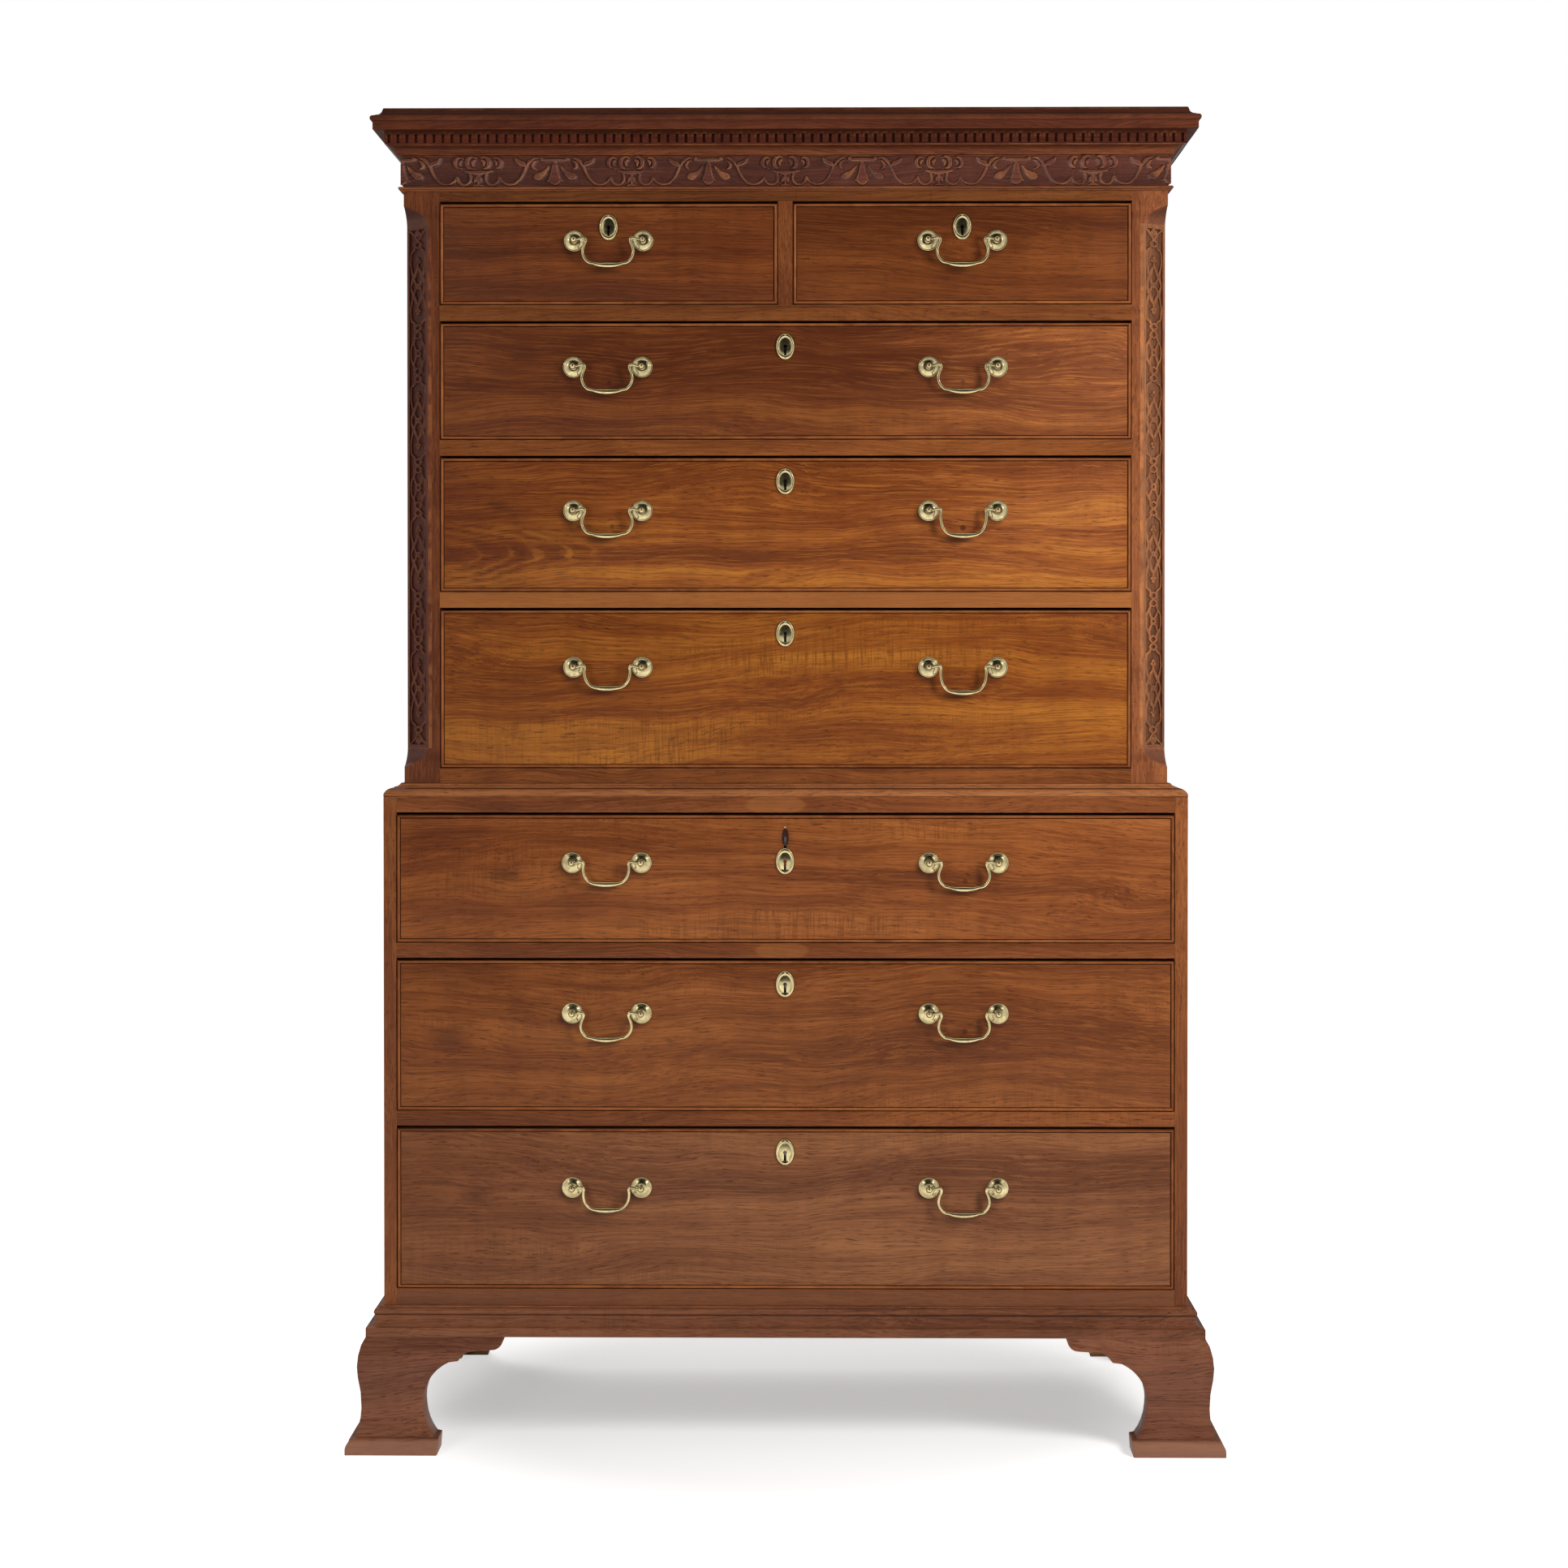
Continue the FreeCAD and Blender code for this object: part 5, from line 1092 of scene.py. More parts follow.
# The frieze's tones are kept dark as painted shade under the cornice, and its pale edge rub is raised to 1.8
# as painted highlight.
frieze_wood = mahogany_pair("frieze", (66, 36, 31), (106, 59, 46), (128, 75, 57), figure=0.4, gloss=0.6,
                            rubbed=1.8)
front_band = band_part(0, 10, 2 * UPPER_HALF, on_front)
fitted(make("carved_frieze_front", [front_band], frieze_wood, sharp=50), "upper_case", "mahogany", "frieze")
for hand, side in ((-1, "left"), (1, "right")):
    band = band_part(1, 5, BACK - UPPER_FRONT, on_side(hand))
    fitted(make(f"carved_frieze_{side}", [band], frieze_wood, sharp=50), "upper_case", "mahogany", "frieze")
astragal_wood = mahogany_pair("astragal", (80, 42, 26), (120, 68, 40), (150, 90, 54))
astragal = moulding(ASTRAGAL_SECTION, UPPER_HALF, UPPER_FRONT, 13, soft=0.3)
fitted(make("astragal_run", astragal, astragal_wood), "upper_case", "mahogany", "frieze")

# ---------------------------------------------------------------- cornice
# Three mitred courses: a cove with a bead, a strip of drilled and slotted dentils, and a crown moulding.
# The dentils are cut in one strip: each gap is a drilled hole with a slot sawn below it.
COVE_SECTION = ((-0.3, 1800), (-0.3, 1813.3), (20, 1813.3), (20, 1811.8), (18.5, 1810.8),
                ((11, 1808), (8, 1801.5)), (8, 1800))
CROWN_SECTION = ((-0.3, 1830.8), (-0.3, 1862.5), (24.5, 1862.5), (26, 1859.5), ((28.5, 1854.5), (33.5, 1852)),
                 (36.5, 1850.5), ((41.5, 1846), (39, 1842)), (38, 1840.5), (38, 1830.8))
CROWN_TOP = ((0, 1858, LONG, 9, (44, 19, 13), 0.5, 0.45, 0.2),)
# A dark band along the top of the dentil strip: painted shadow under the crown.
DENTIL_SHADOW_BAND = ((0, 1830, LONG, 6.5, (30, 12, 9), 0.6, 0.6, 0.1),)
DENTIL_LOW, DENTIL_HIGH = 1813.3, 1830.8
DENTIL_REACH = 23.5
SLOT_DEEP = 4.5
DENTILS = {"x": 89, "y": 44}
WELD = 0.00002


def dentil_unit(pitch):
    """One pitch of the strip, open at its two ends, with a countersunk hole over a slot."""
    top, bottom = DENTIL_HIGH - DENTIL_LOW, 0.0

    def opening(radius, half_slot, low):
        turn = [math.radians(angle) for angle in (-52, -15, 25, 65, 115, 155, 195, 232)]
        eye = [(radius * math.cos(a), 11.2 + radius * math.sin(a)) for a in turn]
        return [(half_slot, low), *eye, (-half_slot, low)]

    mouth, throat = opening(3.0, 2.25, 1.0), opening(2.2, 1.75, 1.4)
    rect = [(pitch / 2, bottom), (pitch / 2, 6.0), (pitch / 2, top), (0, top), (-pitch / 2, top),
            (-pitch / 2, 6.0), (-pitch / 2, bottom)]
    points = [(x, deep, z) for deep, ring in (
        (0.0, rect), (0.0, mouth), (1.1, throat), (SLOT_DEEP, throat), (SLOT_DEEP, rect)) for x, z in ring]
    r, m, t, b, q = 0, 7, 17, 27, 37
    faces = [(r + 0, r + 1, m + 1, m + 0), (r + 1, m + 2, m + 1), (r + 1, r + 2, m + 3, m + 2),
             (r + 2, r + 3, m + 4, m + 3), (r + 3, m + 5, m + 4), (r + 3, r + 4, m + 6, m + 5),
             (r + 4, r + 5, m + 7, m + 6), (r + 5, m + 8, m + 7), (r + 5, r + 6, m + 9, m + 8),
             (r + 6, r + 0, m + 0, m + 9)]
    back = [tuple(index + (q if index < 7 else b - m) for index in face)[::-1] for face in faces]
    for k in range(10):
        n = (k + 1) % 10
        faces += [(m + k, m + n, t + n, t + k), (t + k, t + n, b + n, b + k)]
    faces += back + [(r + 2, q + 2, q + 3, r + 3), (r + 3, q + 3, q + 4, r + 4), (r + 6, q + 6, q + 0, r + 0)]
    return metres(points), faces


def set_out(name, extra):
    """Geometry Nodes: a piece set out along a line, made real and given its finish.

    It returns the tree, its inputs, the socket that turns the pieces, their mesh, and where the mesh goes."""
    tree, given, result = new_group(
        name, "GeometryNodeTree",
        {"Piece": "Object", "Count": "Int", "First": "Vector", "Step": "Vector", **extra,
         "Finish": "Material"},
        {"Geometry": "Geometry"})
    line = node_in(tree, "GeometryNodeMeshLine", mode="OFFSET")
    piece = node_in(tree, "GeometryNodeObjectInfo")
    spread = node_in(tree, "GeometryNodeInstanceOnPoints")
    real = node_in(tree, "GeometryNodeRealizeInstances")
    finish = node_in(tree, "GeometryNodeSetMaterial")
    for socket, value in (
            (line.inputs["Count"], given["Count"]), (line.inputs["Start Location"], given["First"]),
            (line.inputs["Offset"], given["Step"]), (piece.inputs["Object"], given["Piece"]),
            (spread.inputs["Points"], line.outputs[0]),
            (spread.inputs["Instance"], piece.outputs["Geometry"]),
            (real.inputs[0], spread.outputs[0]), (finish.inputs["Material"], given["Finish"]),
            (result["Geometry"], finish.outputs[0])):
        feed(tree, socket, value)
    return tree, given, spread.inputs["Rotation"], real.outputs[0], finish.inputs["Geometry"]


def course_tree():
    """Geometry Nodes: dentil units set out and welded into one strip."""
    tree, given, rotation, mesh, goal = set_out("dentil_course", {"Turn": "Rotation", "Weld": "Float"})
    weld = node_in(tree, "GeometryNodeMergeByDistance")
    for socket, value in ((rotation, given["Turn"]), (weld.inputs["Geometry"], mesh),
                          (weld.inputs["Distance"], given["Weld"]), (goal, weld.outputs[0])):
        feed(tree, socket, value)
    return tree


def grown(name, tree, values):
    """The mesh that a tree makes from its named inputs."""
    carrier = bpy.data.objects.new(name, bpy.data.meshes.new(name))
    bpy.context.scene.collection.objects.link(carrier)
    modifier = carrier.modifiers.new("tree", "NODES")
    modifier.node_group = tree
    for item in tree.interface.items_tree:
        if item.in_out == "INPUT" and item.name in values:
            modifier[item.identifier] = values[item.name]
    bpy.context.view_layer.update()
    mesh = bpy.data.meshes.new_from_object(carrier.evaluated_get(bpy.context.evaluated_depsgraph_get()))
    bpy.data.objects.remove(carrier)
    return mesh


def mesh_part(mesh, finish, board):
    faces = [tuple(polygon.vertices) for polygon in mesh.polygons]
    return Part([tuple(vertex.co) for vertex in mesh.vertices], faces, finish, board)


COURSE = course_tree()
# The cove, crown and dentil tones are kept dark as painted shade, for light that falls off towards the top of
# the chest.
cove_wood = mahogany_pair("cove", (69, 35, 25), (105, 56, 35), (134, 77, 47), sheen=0.04)
crown_wood = mahogany_pair("crown", (55, 27, 20), (85, 43, 28), (110, 59, 37), clouds=0.4, sheen=0.04,
                           marks=CROWN_TOP)
dentil_wood = mahogany_pair("dentil", (50, 23, 17), (80, 37, 25), (98, 48, 31), clouds=0.3, sheen=0.04,
                            gloss=0.3, marks=DENTIL_SHADOW_BAND)
cove = moulding(COVE_SECTION, UPPER_HALF, UPPER_FRONT, 14, soft=0.35)
crown = moulding(CROWN_SECTION, UPPER_HALF, UPPER_FRONT, 15, soft=0.5)
strip_back = DENTIL_REACH - SLOT_DEEP
strip_section = ((-0.3, DENTIL_LOW), (-0.3, DENTIL_HIGH), (strip_back, DENTIL_HIGH), (strip_back, DENTIL_LOW))
strip = moulding(strip_section, UPPER_HALF, UPPER_FRONT, 16, soft=0.05)
half_strip, side_strip = UPPER_HALF + DENTIL_REACH, BACK - UPPER_FRONT + DENTIL_REACH
dentil_parts = []
for way, length, turn, hand, step in (
        ("x", 2 * half_strip, 0.0, -1, (1, 0)), ("y", side_strip, math.pi / 2, 1, (0, 1)),
        ("y", side_strip, -math.pi / 2, -1, (0, 1))):
    pitch = length / DENTILS[way]
    unit = bpy.data.objects.new("dentil", bpy.data.meshes.new("dentil"))
    unit_points, unit_faces = dentil_unit(pitch)
    unit.data.from_pydata(unit_points, [], unit_faces)
    x, y = hand * half_strip + step[0] * pitch / 2, UPPER_FRONT - DENTIL_REACH + step[1] * pitch / 2
    mesh = grown("dentils", COURSE, {
        "Piece": unit, "Count": DENTILS[way], "First": (x * MM, y * MM, DENTIL_LOW * MM),
        "Step": (step[0] * pitch * MM, step[1] * pitch * MM, 0.0), "Turn": (0.0, 0.0, turn), "Weld": WELD,
        "Finish": dentil_wood[0]})
    dentil_parts.append(mesh_part(mesh, 4 if way == "x" else 5, 0.55))
    bpy.data.objects.remove(unit)
crown = [part._replace(finish=part.finish + 2) for part in crown]
strip = [part._replace(finish=part.finish + 4) for part in strip]
cornice = make("cornice_courses", cove + strip + crown + dentil_parts, cove_wood + crown_wood + dentil_wood)
fitted(cornice, "upper_case", "mahogany", "cornice")

# ---------------------------------------------------------------- drawer fronts
# Eight fronts of solid figured mahogany, each edged with a cockbead in four mitred strips let into a rebate.
# Old handle holes are plugged, and painted shadows of the handles darken the wood beside the roses and under
# the bails.
BEAD = 4.0
BEAD_PROUD = 2.5
BEAD_DEEP = 12.0
SHADOW_LINE = 0.9
SHRUNK = 1.0
FRONT_THICK = 20.0
EYE_BELOW_TOP = 32.5
HANDLE_SPREAD = 96.0
PIVOT_BELOW_TOP = 2.2
EYE_RADIUS = 2.6
KEY_SLOT = (1.7, 13.0)
DARK_SPOT = (52, 26, 17)
# Gains for washes: painted light on the right-hand ends of two upper drawers, and painted shade on the
# left-hand ends and at the upper left.
STRONG_PAINTED_LIGHT = (2.1, 2.5, 2.7)
SOFT_PAINTED_LIGHT = (1.15, 1.25, 1.6)
RED_PAINTED_SHADE = (0.5, 0.4, 0.44)
PAINTED_SHADE_GAIN = (0.82, 0.74, 0.68)
PLUG = (62, 31, 20)
# The colour of the painted shadows round the handles.
BAIL_SHADOW_TONE = (50, 24, 13)


def plug(x, z, radius, strength):
    """The mark of a plugged handle hole."""
    return (x, z, radius, radius, PLUG, strength, 0.25, 0.1)


DRAWERS = {
    "short_left": dict(dark=(72, 35, 17), body=(104, 53, 26), gold=(139, 79, 37), figure=0.7, clouds=0.5,
                       marks=((-246, 1652, 22, 12, DARK_SPOT, 0.3, 0.9, 0.6),),
                       light_and_shade_washes=((-60, 1664, 240, 130, PAINTED_SHADE_GAIN),)),
    "short_right": dict(dark=(66, 30, 12), body=(97, 48, 20), gold=(133, 74, 33), figure=0.75, clouds=0.4),
    "upper_2": dict(dark=(71, 32, 15), body=(103, 52, 24), gold=(146, 86, 38), figure=0.65,
                    marks=(plug(-246, 1483, 3.6, 0.8), plug(248, 1484, 3.8, 0.7),
                           (-360, 1520, 34, 16, DARK_SPOT, 0.35, 0.9, 0.8)),
                    light_and_shade_washes=((440, 1490, 420, 170, STRONG_PAINTED_LIGHT),)),
    "upper_3": dict(dark=(91, 43, 18), body=(136, 72, 30), gold=(188, 119, 46), figure=0.8, ripple=0.7,
                    flame=0.5, heart=(-0.475, 1.243),
                    marks=(plug(-242, 1283, 3.6, 0.5), plug(248, 1281, 4.4, 0.8),
                           (-402, 1312, 30, 14, DARK_SPOT, 0.5, 0.95, 0.9)),
                    light_and_shade_washes=((-470, 1290, 320, 160, RED_PAINTED_SHADE), (380, 1300, 330, 150, SOFT_PAINTED_LIGHT))),
    "upper_4": dict(dark=(86, 40, 14), body=(128, 67, 24), gold=(176, 110, 40), figure=0.85, ripple=1.0),
    "lower_1": dict(dark=(84, 41, 18), body=(129, 70, 33), gold=(169, 103, 51), figure=0.75, ripple=1.0,
                    marks=((1, 849, 14, 25, DARK_SPOT, 0.4, 0.9, 0.5),
                           (0.3, 850, 5.6, 14.5, (34, 18, 16), 0.9, 0.25, 0.2), plug(250, 789, 4.0, 0.55),
                           (-390, 798, 34, 18, DARK_SPOT, 0.45, 0.95, 0.8)),
                    light_and_shade_washes=((-480, 790, 360, 180, PAINTED_SHADE_GAIN),)),
    "lower_2": dict(dark=(84, 42, 20), body=(127, 71, 35), gold=(165, 102, 54), figure=0.7, ripple=0.7,
                    clouds=0.4,
                    marks=(plug(250, 580, 4.2, 0.7), (-470, 570, 44, 24, DARK_SPOT, 0.5, 0.95, 0.8)),
                    light_and_shade_washes=((-480, 580, 360, 180, PAINTED_SHADE_GAIN),)),
    "lower_3": dict(dark=(86, 48, 29), body=(128, 79, 50), gold=(163, 108, 68), figure=0.6, ripple=0.6,
                    marks=((-430, 350, 36, 20, DARK_SPOT, 0.4, 0.95, 0.8),),
                    light_and_shade_washes=((-480, 340, 360, 180, PAINTED_SHADE_GAIN),)),
}


def key_outline(centre_x, centre_z, grow=0.0):
    """A keyhole: a round eye with a slot below, as a closed line from the slot's foot."""
    radius, half_slot, drop = EYE_RADIUS + grow, KEY_SLOT[0] + grow, KEY_SLOT[1] + grow
    start = math.asin(half_slot / radius)
    turn = np.linspace(-math.pi / 2 + start, 1.5 * math.pi - start, 19)
    eye = [(centre_x + radius * math.cos(a), centre_z + radius * math.sin(a)) for a in turn]
    return [(centre_x + half_slot, centre_z - drop), *eye, (centre_x - half_slot, centre_z - drop)]


def pierced_board(rect, hole, near, far, ease):
    """A board with a hole through it. Both faces are bridged round the hole, and its arrises are eased."""
    (left, low), (right, high) = rect
    points = []
    for inset, y in ((0.0, near + ease), (ease * 0.3, near + ease * 0.3), (ease, near), (0.0, far)):
        points += [(x, y, z) for x, z in ((left + inset, low + inset), (right - inset, low + inset),
                                          (right - inset, high - inset), (left + inset, high - inset))]
    count, first = len(hole), len(points)
    points += [(x, y, z) for y in (near, far) for x, z in hole]
    faces = quads(0, 4, 4) + quads(4, 8, 4) + quads(0, 12, 4) + quads(first, first + count, count)
    top = count // 2
    for corners, start in ((8, first), (12, first + count)):
        right_side = [start + k for k in range(0, top + 1)]
        left_side = [start + k % count for k in range(top, count + 1)]
        faces.append((corners + 1, corners + 2, *right_side[::-1]))
        faces.append((corners + 3, corners + 0, *left_side[::-1]))
        faces.append((corners + 2, corners + 3, start + top))
        faces.append((corners + 0, corners + 1, start))
    return metres(points), faces


def cockbead(low, high, face):
    """Four mitred strips with a rounded nose, round a drawer front's edge."""
    nose = [(BEAD / 2 - BEAD / 2 * math.cos(a), BEAD_PROUD - BEAD / 2 + BEAD / 2 * math.sin(a))
            for a in np.linspace(0, math.pi, 9)]
    section = [(0.0, -BEAD_DEEP), *nose, (BEAD, -BEAD_DEEP)]
    corners = ((low[0], low[1], 1, 1), (high[0], low[1], -1, 1), (high[0], high[1], -1, -1),
               (low[0], high[1], 1, -1))
    parts = []
    for number in range(4):
        start, end = corners[number], corners[(number + 1) % 4]
        loops = []
        for share in np.linspace(0, 1, 9):
            loop = []
            for across, out in section:
                first = (start[0] + start[2] * across, start[1] + start[3] * across)
                last = (end[0] + end[2] * across, end[1] + end[3] * across)
                x, z = (a + (b - a) * share for a, b in zip(first, last))
                loop.append((x * MM, (face - out) * MM, z * MM))
            loops.append(loop)
        # The outer side of each strip, the top one most, is darkened as painted shade that widens the dark
        # line of the gap; the faces let into the rebate are darkened too.
        gap_shade = [(0.9 if number == 2 else 0.5) if across < 1.0 else 0.8 * (out < 0) for across, out in section]
        parts.append(Part(*ring_loft(loops), 1 + number % 2, 0.17 * number, np.tile(gap_shade, len(loops))))
    return parts


def bails_of(drawer):
    """A drawer's bails: name, middle, height of the pivot, and how far below it the bail hangs."""
    for bail in (name for name in frame["bodies"] if name.startswith(drawer) and "_bail" in name):
        low, high = box_of(bail)
        pivot_z = high[2] - PIVOT_BELOW_TOP
        yield bail, (low[0] + high[0]) / 2, pivot_z, pivot_z - low[2]


def painted_bail_shadows(drawer):
    """Painted shadows of the handles: soft dark marks beside the roses, and behind and below each bail, set
    down and to the left.
    """
    marks = []
    for _, centre_x, pivot_z, drop in bails_of(drawer):
        for side in (-HANDLE_SPREAD / 2, HANDLE_SPREAD / 2):
            arm_x, arm_z = centre_x + side * 0.66 - 8, pivot_z - drop * 0.55
            marks.append((centre_x + side - 4, pivot_z - 6, 20, 19, BAIL_SHADOW_TONE, 0.7, 0.6, 0.2))
            marks.append((arm_x, arm_z, 9, 16, BAIL_SHADOW_TONE, 0.42, 0.95, 0.3))
        marks.append((centre_x - 8, pivot_z - drop - 3, 34, 8, BAIL_SHADOW_TONE, 0.7, 0.9, 0.3))
    return tuple(marks)


bead_wood = mahogany_pair("cockbead", (88, 44, 23), (134, 74, 38), (162, 98, 54), ways=("x", "z"), pores=0.3)
drawer_sizes = {}
for number, (drawer, look) in enumerate(DRAWERS.items()):
    corner_low, corner_high = box_of(f"{drawer}_drawer_front")
    face = corner_low[1] + BEAD_PROUD
    low, high = corner_low[[0, 2]], corner_high[[0, 2]] - (0.0, SHRUNK)
    eye = ((low[0] + high[0]) / 2, high[1] - EYE_BELOW_TOP)
    drawer_sizes[drawer] = (face, low, high, eye)
    keyhole = key_outline(*eye)
    inset = BEAD + SHADOW_LINE
    panel = pierced_board((low + inset, high - inset), keyhole, face, face + BEAD_DEEP, 0.35)
    backing = pierced_board((low, high), keyhole, face + BEAD_DEEP, face + FRONT_THICK, 0.2)
    # The drawer's own marks, then the painted shadows of its handles.
    look = {**look, "marks": look.get("marks", ()) + painted_bail_shadows(drawer)}
    wood = mahogany(f"{drawer}_front_mahogany", "x", **look)
    parts = [Part(*panel, 0, 0.13 * number), Part(*backing, 0, 0.13 * number), *cockbead(low, high, face)]
    front = make(f"{drawer}_front_board", parts, [wood, *bead_wood])
    fitted(front, f"{drawer}_drawer", "mahogany", f"{drawer}_drawer_front")

# ---------------------------------------------------------------- drawer boxes
# Oak sides and backs, dovetailed at the corners, with thin bottoms let into grooves. The wood is as
# dry and bare as the dust boards, and a little paler.
box_oak = bare_wood("drawer_oak", "y", (104, 76, 48), (152, 118, 80), (178, 144, 102))
for drawer in DRAWERS:
    refinished(f"{drawer}_drawer_box", box_oak)

# ---------------------------------------------------------------- handle roses, posts, escutcheons and locks
# Cast and turned brass with its lacquer long gone: domed roses under ball-headed posts whose nuts are
# inside the drawer, oval escutcheons held by two pins, and a lock let into the back of each front.
ROSE = ((0.1, 0), (14.75, 0), (14.75, 1.0), (14.3, 1.8), (13.6, 2.0), (13.0, 1.7), (12.3, 2.0),
        ((9.4, 3.9), (5.6, 4.8)), (0.1, 4.8))
POST_TURNING = ((0.1, -23), (2.4, -23), (2.4, 4.6), (4.3, 4.6), (4.5, 5.2), (3.9, 5.8), (3.1, 6.1),
                ((2.3, 8.2), (2.7, 10.6)), (3.3, 11.2), (4.2, 13.0), (4.6, 15.0), (4.2, 17.1), (3.1, 18.6),
                (1.6, 19.4), (0.1, 19.6))
PLATE = (13.5, 19.0)
SLIPPED = 31.5
PIN = ((0.1, -6), (0.8, -6), (0.8, 0.0), (1.4, 0.0), (1.26, 0.6), (0.1, 1.1))
PIN_AWAY = 16.0
PIN_RISE = 3.2
NUT_HALF = 5
FITTING_EASE = 0.8


def brass_patina():
    """Tarnish in hollows and in soft patches, with the high places rubbed bright."""
    tree, given, result = new_group(
        "brass_patina", "ShaderNodeTree",
        {"Place": "Vector", "Bright": "Color", "Dull": "Color", "Worn": "Float", "Grime": "Float"},
        {"Colour": "Color", "Roughness": "Float", "Height": "Float"},
    )
    patch = between(tree, noise(tree, given["Place"], (90.0, 90.0, 90.0), 4.0, 0.6), 0.40, 0.66)
    fine = noise(tree, given["Place"], (180.0, 180.0, 180.0), 1.0)
    dull = maths(tree, "MAXIMUM", patch * 0.42, given["Grime"]) - given["Worn"] * 0.5
    dull = maths(tree, "MAXIMUM", dull, 0.0)
    feed(tree, result["Colour"], blend(tree, dull, given["Bright"], given["Dull"]))
    feed(tree, result["Roughness"], dull * 0.22 + between(tree, fine, 0.3, 0.7, 0.13, 0.20))
    feed(tree, result["Height"], fine)
    return tree


PATINA = brass_patina()


def metal(name, bright, dull):
    finish, tree = new_finish(name)
    skin = place_group(tree, PATINA, {
        "Place": node_in(tree, "ShaderNodeTexCoord").outputs["Object"], "Bright": tone(*bright),
        "Dull": tone(*dull), "Worn": attribute(tree, "worn"), "Grime": attribute(tree, "grime")})
    shader = clad(tree, skin["Colour"], skin["Roughness"], skin["Height"], 0.1, 0.02)
    shader["Metallic"].default_value = 1.0
    return finish


def turned(section, around=28):
    """A lathe shape on the Y axis, out towards -Y, from (radius, out) points. Closed at both ends."""
    line = softened(outline(section), 0.35, closed=False)
    turns = np.linspace(0, 2 * math.pi, around, endpoint=False)
    return ring_loft([metres((r * math.cos(a), -out, r * math.sin(a)) for a in turns) for r, out in line])


def moved(shape, x, y, z):
    points, faces = shape
    return [(px + x * MM, py + y * MM, pz + z * MM) for px, py, pz in points], faces


def escutcheon():
    """An oval plate with a rounded border and a flatter field, pierced by the keyhole."""
    corner = math.asin(KEY_SLOT[0] / KEY_SLOT[1])
    angles = np.unique(np.concatenate([np.linspace(0, 2 * math.pi, 56, endpoint=False),
                                       [1.5 * math.pi - corner, 1.5 * math.pi + corner]]).round(6))
    loops = [[(PLATE[0] * share * math.cos(a), -out, PLATE[1] * share * math.sin(a)) for a in angles]
             for share, out in ((0.99, 0.0), (1.0, 0.6), (0.985, 1.5), (0.94, 2.7), (0.88, 3.5), (0.80, 3.9),
                                (0.72, 3.6), (0.665, 2.7), (0.64, 2.5), (0.60, 2.7))]
    reaches = [EYE_RADIUS if math.sin(a) >= 0 else
               max(EYE_RADIUS, min(KEY_SLOT[0] / max(abs(math.cos(a)), 1e-6), -KEY_SLOT[1] / math.sin(a)))
               for a in angles]
    loops += [[(reach * math.cos(a), -out, reach * math.sin(a)) for a, reach in zip(angles, reaches)]
              for out in (2.9, 2.4, 0.0)]
    points, faces = ring_loft(loops)
    return metres(points), faces[:-2] + quads(0, len(points) - len(angles), len(angles))


def points_tree():
    """Geometry Nodes: a turned piece set on every point of a line, each turned about its own axis."""
    tree, given, rotation, mesh, goal = set_out("set_on_points", {"Seed": "Int"})
    turn = node_in(tree, "FunctionNodeRandomValue", data_type="FLOAT_VECTOR")
    turn.inputs[0].default_value = (0.0, -math.pi, 0.0)
    turn.inputs[1].default_value = (0.0, math.pi, 0.0)
    for socket, value in ((turn.inputs["Seed"], given["Seed"]), (rotation, turn.outputs[0]), (goal, mesh)):
        feed(tree, socket, value)
    return tree


brass = metal("aged_brass", (192, 177, 132), (90, 76, 49))
pin_brass = metal("pin_brass", (196, 172, 124), (104, 84, 52))
iron = metal("lock_iron", (96, 90, 84), (54, 42, 34))
SET_ON = points_tree()
rose_points, rose_faces = turned(ROSE)
post_points, post_faces = turned(POST_TURNING)
handle_piece = bpy.data.objects.new("handle_end", bpy.data.meshes.new("handle_end"))
handle_faces = rose_faces + [tuple(i + len(rose_points) for i in face) for face in post_faces]
handle_piece.data.from_pydata(rose_points + post_points, [], handle_faces)
for number, (drawer, (face, low, high, eye)) in enumerate(drawer_sizes.items()):
    parts = []
    inside = face + FRONT_THICK
    for _, centre_x, pivot_z, _ in bails_of(drawer):
        mesh = grown("handle_ends", SET_ON, {
            "Piece": handle_piece, "Count": 2,
            "First": ((centre_x - HANDLE_SPREAD / 2) * MM, face * MM, pivot_z * MM),
            "Step": (HANDLE_SPREAD * MM, 0.0, 0.0), "Seed": number, "Finish": brass})
        parts.append(mesh_part(mesh, 0, 0.0))
        for x in (centre_x - HANDLE_SPREAD / 2, centre_x + HANDLE_SPREAD / 2):
            parts.append(Part(*rounded_box((x - NUT_HALF, inside, pivot_z - NUT_HALF),
                                           (x + NUT_HALF, inside + 3, pivot_z + NUT_HALF), FITTING_EASE)))
    drop = SLIPPED if drawer == "lower_1" else 0.0
    parts.append(Part(*moved(escutcheon(), eye[0], face, eye[1] - drop)))
    upper_rise = 0.0 if drop else PIN_RISE
    for height, rise in ((eye[1] - drop - PIN_AWAY, PIN_RISE), (eye[1] + PIN_AWAY, upper_rise)):
        parts.append(Part(*moved(turned(PIN, 12), eye[0], face - rise, height), 1))
    lock_low, lock_high = (eye[0] - 32, face + 16, high[1] - 62), (eye[0] + 32, inside + 5, high[1] - 4)
    parts.append(Part(*rounded_box(lock_low, lock_high, FITTING_EASE), 2))
    fittings = make(f"{drawer}_brasswork", parts, [brass, pin_brass, iron], sharp=38)
    fitted(fittings, f"{drawer}_drawer", "brass", f"{drawer}_drawer_fittings")
bpy.data.objects.remove(handle_piece)

